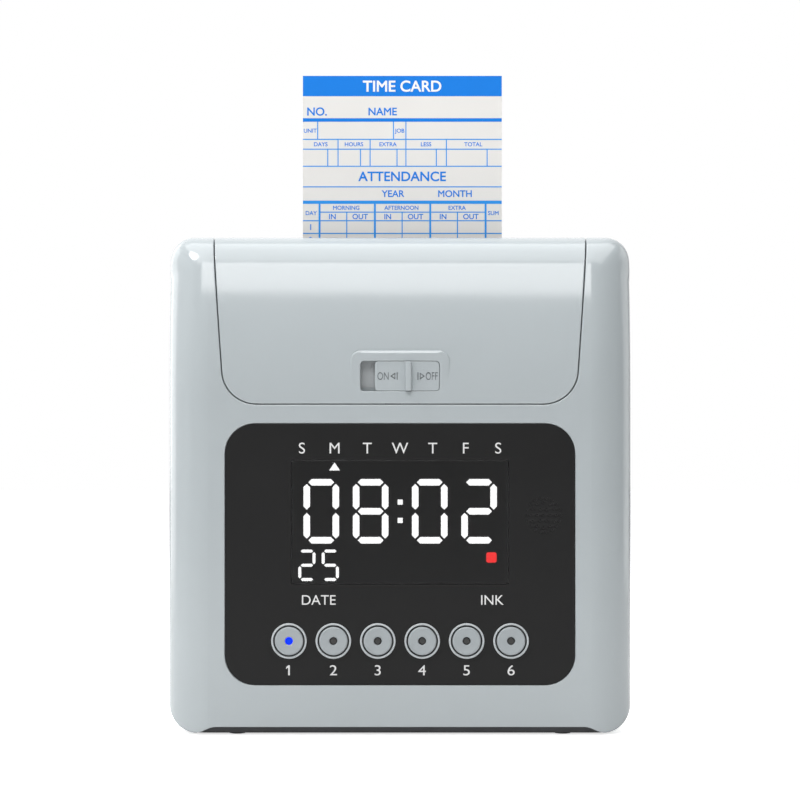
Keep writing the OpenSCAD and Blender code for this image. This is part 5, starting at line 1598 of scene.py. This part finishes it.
def make_card_print(back, row_group):
    """Printed form on one face of the card: header, words, rules, day rows and their numbers."""
    form = CardForm
    lift = shape().print_lift
    side = "_back" if back else "_front"
    if back:
        planes = (card_high.y - form.sink, card_high.y + lift)
    else:
        planes = (card_low.y - lift, card_low.y + form.sink)
    heavy, thin = card_bars()
    print_bars("card_heavy_bars", heavy, "card_ink", side, planes, back)
    print_bars("card_thin_bars", thin, "card_rule", side, planes, back)
    wide = card_high.x - card_low.x
    x, z = card_place(wide / 2, form.table_heads[1], back)
    values = {"Count": form.row_count + 1, "Start": (x, sum(planes) / 2, z),
              "Pitch": (0, 0, -form.row_pitch), "Bar": (wide, planes[1] - planes[0], form.thin),
              "Material": finish("card_rule")}
    rows = node_piece("card_rows" + side, row_group, values)
    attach(rows, "card")
    words = bmesh.new()

    def write(text, height, across, down):
        x, z = card_place(across, down, back)
        lettering(words, text, height, x, z, *planes, back=back, weight=form.stroke)

    for text, height, across, down in form.headings:
        write(text, height * mm, across * mm, down * mm)
    write("ATTENDANCE", form.attendance, wide / 2, form.attendance_down)
    for text, across, down in form.small_words:
        write(text, form.small, across * mm, down * mm)
    for k, text in enumerate(form.group_words):
        start = form.day_column + k * form.group_width
        write(text, form.small, start + form.group_width / 2, (form.table_line[1] + form.table_heads[0]) / 2)
        write("IN", form.in_out, start + form.group_width * 0.25, form.in_out_down)
        write("OUT", form.in_out, start + form.group_width * 0.75, form.in_out_down)
    for k in range(form.row_count):
        down = form.table_heads[1] + (k + 0.5) * form.row_pitch
        write(str(k + 1), form.day_number, form.day_column / 2, down)
    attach(new_piece("card_words" + side, words, finish("card_ink")), "card")
    title = bmesh.new()
    x, z = card_place(wide / 2, form.header / 2, back)
    shift = lift * (1 if back else -1)
    lettering(title, "TIME CARD", form.title, x, z, planes[0] + shift, planes[1] + shift, back=back,
              weight=form.stroke)
    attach(new_piece("card_title" + side, title, finish("card_white")), "card")


def make_throat():
    """Dark funnel that lines the card slot, with a soft flange on the top of the case."""
    low, high = throat_low, throat_high
    middle = (low.y + high.y) / 2
    slot_half = 1.5 * mm
    slot_x = high.x - 4.5 * mm
    lap_x = 3 * mm
    lap_y = 1.5 * mm
    join = 0.2 * mm
    slot = soft_rect(-slot_x, slot_x, middle - slot_half, middle + slot_half, 0.6 * mm)
    flange = soft_rect(low.x, high.x, low.y, high.y, 2 * mm)
    tube = soft_rect(low.x + lap_x, high.x - lap_x, low.y + lap_y, high.y - lap_y, 1 * mm)
    bm = bmesh.new()
    plate(bm, [flange, slot], top_z, high.z, 0.3 * mm, True)
    plate(bm, [tube, slot], low.z, top_z + join, 0.1 * mm, True)
    fit(new_piece("slot_funnel", bm, finish("base_dark")), "case", "card_throat")


# Mechanism, boards and power parts

def softened(node, width, pick=None, *extra, inset=0.0):
    """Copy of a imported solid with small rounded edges, which stands for it.

    A pick function may give each face the number of one of the extra finishes, and an inset
    draws every face in."""
    source = frame["nodes"][node]
    flat = math.radians(0.6)
    sharp = math.radians(32)
    bm = bmesh.new()
    bm.from_mesh(source.data)
    bmesh.ops.remove_doubles(bm, verts=bm.verts, dist=merge_gap)
    bmesh.ops.dissolve_limit(bm, angle_limit=flat, verts=bm.verts, edges=bm.edges)
    bm.normal_update()
    for vert in bm.verts:
        vert.co -= vert.normal * vert.calc_shell_factor() * inset
    edges = [edge for edge in bm.edges if len(edge.link_faces) == 2 and edge.calc_face_angle(0.0) > sharp]
    bmesh.ops.bevel(bm, geom=edges, offset=width, segments=2, profile=0.5, affect="EDGES",
                    clamp_overlap=True)
    for face in bm.faces:
        face.material_index = pick(face.calc_center_median()) if pick else 0
    materials = [finish(slot_of[node])] + [finish(name) for name in extra]
    piece = new_piece(node + "_finished", bm, *materials, turn_out=False)
    fit(piece, source["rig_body"], node)


def transformer_finish(point):
    """Finish of the transformer at a point: the core, or the tape round the winding."""
    core_half = 9.2 * mm
    return 1 if abs(point.y - box_middle("power_transformer").y) > core_half else 0


def component_finish(point):
    """Finish of the board's parts at a point: chips, capacitor cans or cream plug headers."""
    low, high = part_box("board_components")
    header_width = 8 * mm
    can_width = 21 * mm
    if point.x > high.x - header_width:
        return 2
    return 1 if point.x < low.x + can_width else 0


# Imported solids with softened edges, and the width of the softening in millimetres
soft_nodes = {
    "base_plate": 0.3, "latch_retainer": 0.2, "catch_spring": 0.08, "front_card_guide": 0.2,
    "rear_card_guide": 0.2, "platen": 0.5, "side_frame_left": 0.25, "side_frame_right": 0.25,
    "printer_bed": 0.25, "carriage_rods": 0.4, "carriage": 0.4, "print_head": 0.25, "carriage_belt": 0.2,
    "carriage_motor": 0.6, "drive_pulley": 0.15, "idler_pulley": 0.15, "ribbon_cradle": 0.2,
    "ribbon_cartridge": 0.5, "ribbon_knob": 0.2, "feed_shaft": 0.3, "feed_rollers": 0.5,
    "feed_gear": 0.1, "feed_motor": 0.7, "motor_pinion": 0.08, "pinch_shaft": 0.3, "pinch_rollers": 0.5,
    "front_board": 0.1, "main_board": 0.1, "power_jack": 0.25, "backup_battery": 0.6, "speaker": 0.3,
    "keypad_mat": 0.3, "hinge_pins": 0.3, "cradle_pins": 0.3, "indicator_led_lit": 0.5,
    "indicator_leds_dark": 0.5, "display_module": 0.3,
}


def make_inside():
    """Mechanism, boards and power parts with soft edges and their own finishes."""
    for node, width in soft_nodes.items():
        softened(node, width * mm)
    softened("lit_segments", 0.03 * mm, inset=0.1 * mm)
    softened("power_transformer", 0.4 * mm, transformer_finish, "winding_tape")
    softened("board_components", 0.3 * mm, component_finish, "motor_steel", "gear_cream")


# Screws and feet

def scatter_tree():
    """Geometry nodes that set one shape, turned alike, on every point."""
    tree, given, result = new_group(
        "Set on points", "GeometryNodeTree",
        {"Geometry": "shape", "Shape": "object", "Turn": "vector", "Material": "material"},
        {"Geometry": "shape"})
    info = add(tree, "GeometryNodeObjectInfo", {"Object": given["Shape"]})
    turn = add(tree, "FunctionNodeEulerToRotation", {"Euler": given["Turn"]})
    set_out(tree, given["Geometry"], info.outputs["Geometry"], given, result, turn.outputs[0])
    return tree


def screw_shape(head, tall, shank, long):
    """Screw with a domed head down and a cross recess, shank up, made at the origin."""
    bm = bmesh.new()
    profile = [(0, 0), (head * 0.55, 0.03 * tall), (head * 0.85, 0.16 * tall), (head, 0.45 * tall),
               (head, tall), (shank, tall)]
    thread = 0.5 * mm
    thread_deep = 0.18 * mm
    neck = 0.4 * mm
    point = 0.3 * mm
    count = int((long - 1 * mm) / thread)
    for k in range(count):
        start = tall + neck + k * thread
        profile += [(shank - thread_deep, start), (shank, start + thread / 2)]
    profile += [(shank * 0.7, tall + long - point), (0, tall + long)]
    turned(bm, profile, "Z", (0, 0, 0), 28)
    piece = new_piece("screw_shape", bm)
    cross = head * 0.62
    bar = head * 0.13
    deep = tall * 0.55
    carve(piece, box_cutter((-cross, -bar, -1 * mm), (cross, bar, deep)))
    carve(piece, box_cutter((-bar, -cross, -1 * mm), (bar, cross, deep)))
    return piece


def board_corners(node, inset, y):
    """Places at one y of the screws in the corners of a board."""
    low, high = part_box(node)
    return [(side * (high.x - inset), y, z) for side in (-1, 1) for z in (low.z + inset, high.z - inset)]


def make_screws(tree):
    """Case screws and board screws, set on their places by geometry nodes."""
    inset = shape().wall + post_inset
    base_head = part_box("case_screws")[0].z
    base_y = (front_y + inset, rear_y - inset)
    base = [(side * base_screw_x(), y, base_head) for side in (-1, 1) for y in base_y]
    shell_head = rear_start_y + 11.45 * mm
    shell = [(x, shell_head, z) for x, z in (shell_screw(-1), shell_screw(1))]
    frame_low, frame_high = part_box("side_frame_right")
    foot_x = frame_high.x - 6 * mm
    foot_inset = 12 * mm
    foot_y = (frame_low.y + foot_inset, frame_high.y - foot_inset)
    foot_head = frame_low.z + 3.2 * mm
    feet = [(side * foot_x, y, foot_head) for side in (-1, 1) for y in foot_y]
    front_board = board_corners("front_board", 3.4 * mm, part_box("front_board")[1].y + screw_head)
    main_board = board_corners("main_board", board_inset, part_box("main_board")[0].y - screw_head)
    quarter = math.pi / 2
    # Places and turn of each set, its length, head radius and shank radius in millimetres, and its node
    sets = (("base_screws", base, (0, 0, 0), 9.0, 2.6, 1.2, "case_screws"),
            ("shell_screws", shell, (quarter, 0, 0), 18.0, 2.6, 1.2, None),
            ("frame_screws", feet, (math.pi, 0, 0), 6.6, 2.6, 1.2, None),
            ("front_board_screws", front_board, (quarter, 0, 0), 4.6, 2.0, 1.0, "board_screws"),
            ("main_board_screws", main_board, (-quarter, 0, 0), 6.6, 2.0, 1.0, None))
    for name, places, turn, long, head, shank, node in sets:
        template = screw_shape(head * mm, screw_head, shank * mm, long * mm)
        values = {"Shape": template, "Turn": turn, "Material": finish("screw_steel")}
        piece = node_piece(name, tree, values, places)
        discard(template)
        if node:
            fit(piece, "case", node, angle=40)
        else:
            fit(piece, "case", angle=40)


def make_feet(tree):
    """Four rubber feet with soft rims."""
    low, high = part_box("rubber_feet")
    radius = 3.5 * mm
    tall = high.z - low.z
    profile = [(0, 0), (radius * 0.72, 0), (radius * 0.9, 0.12 * mm), (radius, 0.5 * mm), (radius, tall),
               (0, tall)]
    template = bmesh.new()
    turned(template, profile, "Z", (0, 0, 0), 36)
    model = new_piece("foot_shape", template)
    places_x = (low.x + radius, high.x - radius)
    places_y = (low.y + radius, high.y - radius)
    places = [(x, y, low.z) for x in places_x for y in places_y]
    values = {"Shape": model, "Turn": (0, 0, 0), "Material": finish("foot_rubber")}
    piece = node_piece("rubber_foot_set", tree, values, places)
    discard(model)
    fit(piece, "case", "rubber_feet")


def paint_nodes():
    """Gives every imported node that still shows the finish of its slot."""
    for node, source in frame["nodes"].items():
        if not source.hide_render:
            source.data.materials.clear()
            source.data.materials.append(finish(slot_of[node]))


# Stage

def soft_light(name, place, aim, size, power, form="RECTANGLE"):
    """Studio light aimed at a point, with its width and height, unseen by the camera."""
    data = bpy.data.lights.new(name, "AREA")
    data.shape = form
    data.size, data.size_y = size
    data.energy = power
    light = bpy.data.objects.new(name, data)
    light.location = place
    light.rotation_euler = (Vector(aim) - Vector(place)).to_track_quat("-Z", "Y").to_euler()
    light.visible_camera = False
    bpy.context.scene.collection.objects.link(light)


def make_floor():
    """Wide white floor under the case, lifted to white where the camera sees it."""
    reach = 4.0
    drop = 0.05 * mm
    bm = bmesh.new()
    bmesh.ops.create_grid(bm, x_segments=8, y_segments=8, size=reach)
    bmesh.ops.translate(bm, verts=bm.verts, vec=(0, 0, -drop))
    tree, shader, place = blank("floor_paper")
    skin = grain_skin(tree, place, (0.8, 0.8, 0.8), 0.8, 300.0, 0.02)
    connect(tree, shader, skin, 0.02 * mm)
    seen = add(tree, "ShaderNodeLightPath").outputs["Is Camera Ray"]
    tree.links.new(shaded(tree, skin["Colour"], seen), shader.inputs["Emission Color"])
    shader.inputs["Emission Strength"].default_value = 0.9
    floor = new_piece("floor", bm, finish("floor_paper"))


def make_sky(level):
    """White surroundings for the camera and even soft light for the object."""
    world = bpy.data.worlds.new("studio")
    bpy.context.scene.world = world
    world.use_nodes = True
    tree = world.node_tree
    back = tree.nodes["Background"]
    seen = add(tree, "ShaderNodeLightPath").outputs["Is Camera Ray"]
    parts = add(tree, "ShaderNodeSeparateXYZ", {0: add(tree, "ShaderNodeTexCoord").outputs["Generated"]})
    behind = add(tree, "ShaderNodeMapRange", {"Value": parts.outputs["Y"], "From Min": 0.1, "From Max": 0.8,
                                              "To Min": level, "To Max": 1.1}).outputs[0]
    side = add(tree, "ShaderNodeMapRange", {"Value": parts.outputs["X"], "From Min": 0.0, "From Max": 0.8,
                                            "To Min": 1.0, "To Max": 0.1}).outputs[0]
    level_here = math_node(tree, "MULTIPLY", behind, side)
    strength = add(tree, "ShaderNodeMapRange", {"Value": seen, "To Min": level_here, "To Max": 1.0})
    back.inputs["Color"].default_value = (1.0, 1.0, 1.0, 1.0)
    tree.links.new(strength.outputs[0], back.inputs["Strength"])


def make_stage():
    """Floor, lights and the camera at the photograph's angle."""
    stage = bpy.context.scene.clock_stage
    bpy.context.scene.view_settings.view_transform = "Standard"
    make_floor()
    make_sky(stage.sky_level)
    middle = (0, 0, 0.11)
    cover = (0, -0.05, 0.19)
    # Each light has its place, what it is aimed at, its width and height, and its power
    soft_light("key_light", (-0.28, -1.42, 1.54), cover, (1.55, 0.8), stage.key_power)
    soft_light("top_light", (0, -0.06, 1.5), middle, (2.2, 1.52), stage.top_power)
    soft_light("fill_light", (-1.35, -0.05, 0.5), middle, (1.5, 1.1), stage.fill_power)
    soft_light("side_light", (-1.05, 0.85, 0.45), middle, (0.9, 1.1), stage.side_power)
    soft_light("rim_light", (1.18, 0.75, 0.45), middle, (0.8, 1.1), stage.rim_power)
    soft_light("spark_light", (-1.01, -0.24, 1.49), middle, (0.46, 0.46), stage.spark_power, "DISK")
    data = bpy.data.cameras.new("camera")
    data.lens = stage.focal_length
    data.sensor_width = 36.0
    data.clip_start = 0.05
    camera = bpy.data.objects.new("camera", data)
    camera.location = (0, front_y - stage.camera_distance, stage.camera_height)
    camera.rotation_euler = (math.pi / 2, 0, 0)
    bpy.context.scene.collection.objects.link(camera)
    bpy.context.scene.camera = camera


# Operators and panel

class CLOCK_OT_finishes(bpy.types.Operator):
    """Builds the shared node groups and the materials"""
    bl_idname = "clock.finishes"
    bl_label = "Finishes"

    def execute(self, context):
        make_finishes()
        return {"FINISHED"}


class CLOCK_OT_case(bpy.types.Operator):
    """Builds the front and rear shells"""
    bl_idname = "clock.case"
    bl_label = "Case shells"

    def execute(self, context):
        front, rear = shell_halves()
        make_front_shell(front)
        make_rear_shell(rear)
        return {"FINISHED"}


class CLOCK_OT_cover(bpy.types.Operator):
    """Builds the printer cover and its latch slider"""
    bl_idname = "clock.cover"
    bl_label = "Cover and latch"

    def execute(self, context):
        make_cover()
        make_latch()
        return {"FINISHED"}


class CLOCK_OT_panel(bpy.types.Operator):
    """Builds the front panel, its window and its printing"""
    bl_idname = "clock.panel"
    bl_label = "Front panel"

    def execute(self, context):
        make_panel()
        make_speaker_cloth()
        make_panel_print()
        return {"FINISHED"}


class CLOCK_OT_buttons(bpy.types.Operator):
    """Builds the six push buttons and their rings"""
    bl_idname = "clock.buttons"
    bl_label = "Push buttons"

    def execute(self, context):
        for name, middle in zip(button_names, button_middles):
            make_button(name, middle)
        make_rings()
        return {"FINISHED"}


class CLOCK_OT_card(bpy.types.Operator):
    """Builds the time card with its printed form, and the card slot"""
    bl_idname = "clock.card"
    bl_label = "Card and slot"

    def execute(self, context):
        make_card()
        row_group = row_tree()
        make_card_print(False, row_group)
        make_card_print(True, row_group)
        make_throat()
        return {"FINISHED"}


class CLOCK_OT_inside(bpy.types.Operator):
    """Softens and paints the printer, the card feed, the boards and the power parts"""
    bl_idname = "clock.inside"
    bl_label = "Mechanism and boards"

    def execute(self, context):
        make_inside()
        return {"FINISHED"}


class CLOCK_OT_fasteners(bpy.types.Operator):
    """Builds the screws and the rubber feet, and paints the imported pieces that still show"""
    bl_idname = "clock.fasteners"
    bl_label = "Screws and feet"

    def execute(self, context):
        tree = scatter_tree()
        make_screws(tree)
        make_feet(tree)
        paint_nodes()
        return {"FINISHED"}


class CLOCK_OT_stage(bpy.types.Operator):
    """Sets up the floor, the lights and the camera"""
    bl_idname = "clock.stage"
    bl_label = "Stage"

    def execute(self, context):
        make_stage()
        return {"FINISHED"}


operators = (CLOCK_OT_finishes, CLOCK_OT_case, CLOCK_OT_cover, CLOCK_OT_panel, CLOCK_OT_buttons,
             CLOCK_OT_card, CLOCK_OT_inside, CLOCK_OT_fasteners, CLOCK_OT_stage)


class CLOCK_PT_sidebar(bpy.types.Panel):
    """Lists the pieces of the time clock"""
    bl_idname = "CLOCK_PT_sidebar"
    bl_label = "Time clock"
    bl_space_type = "VIEW_3D"
    bl_region_type = "UI"
    bl_category = "Time clock"

    def draw(self, context):
        for operator in operators:
            self.layout.operator(operator.bl_idname)


groups = {"clock_shape": ClockShape, "clock_colours": ClockColours, "clock_stage": ClockStage}


def register():
    """Registers the properties, the operators and the panel."""
    for name, group in groups.items():
        bpy.utils.register_class(group)
        setattr(bpy.types.Scene, name, bpy.props.PointerProperty(type=group))
    for made in (*operators, CLOCK_PT_sidebar):
        bpy.utils.register_class(made)


def unregister():
    """Removes what register added."""
    for made in (CLOCK_PT_sidebar, *reversed(operators)):
        bpy.utils.unregister_class(made)
    for name, group in groups.items():
        delattr(bpy.types.Scene, name)
        bpy.utils.unregister_class(group)


def main():
    """Builds every piece in order."""
    register()
    bpy.ops.clock.finishes()
    bpy.ops.clock.case()
    bpy.ops.clock.cover()
    bpy.ops.clock.panel()
    bpy.ops.clock.buttons()
    bpy.ops.clock.card()
    bpy.ops.clock.inside()
    bpy.ops.clock.fasteners()
    bpy.ops.clock.stage()


if __name__ == "__main__":
    main()
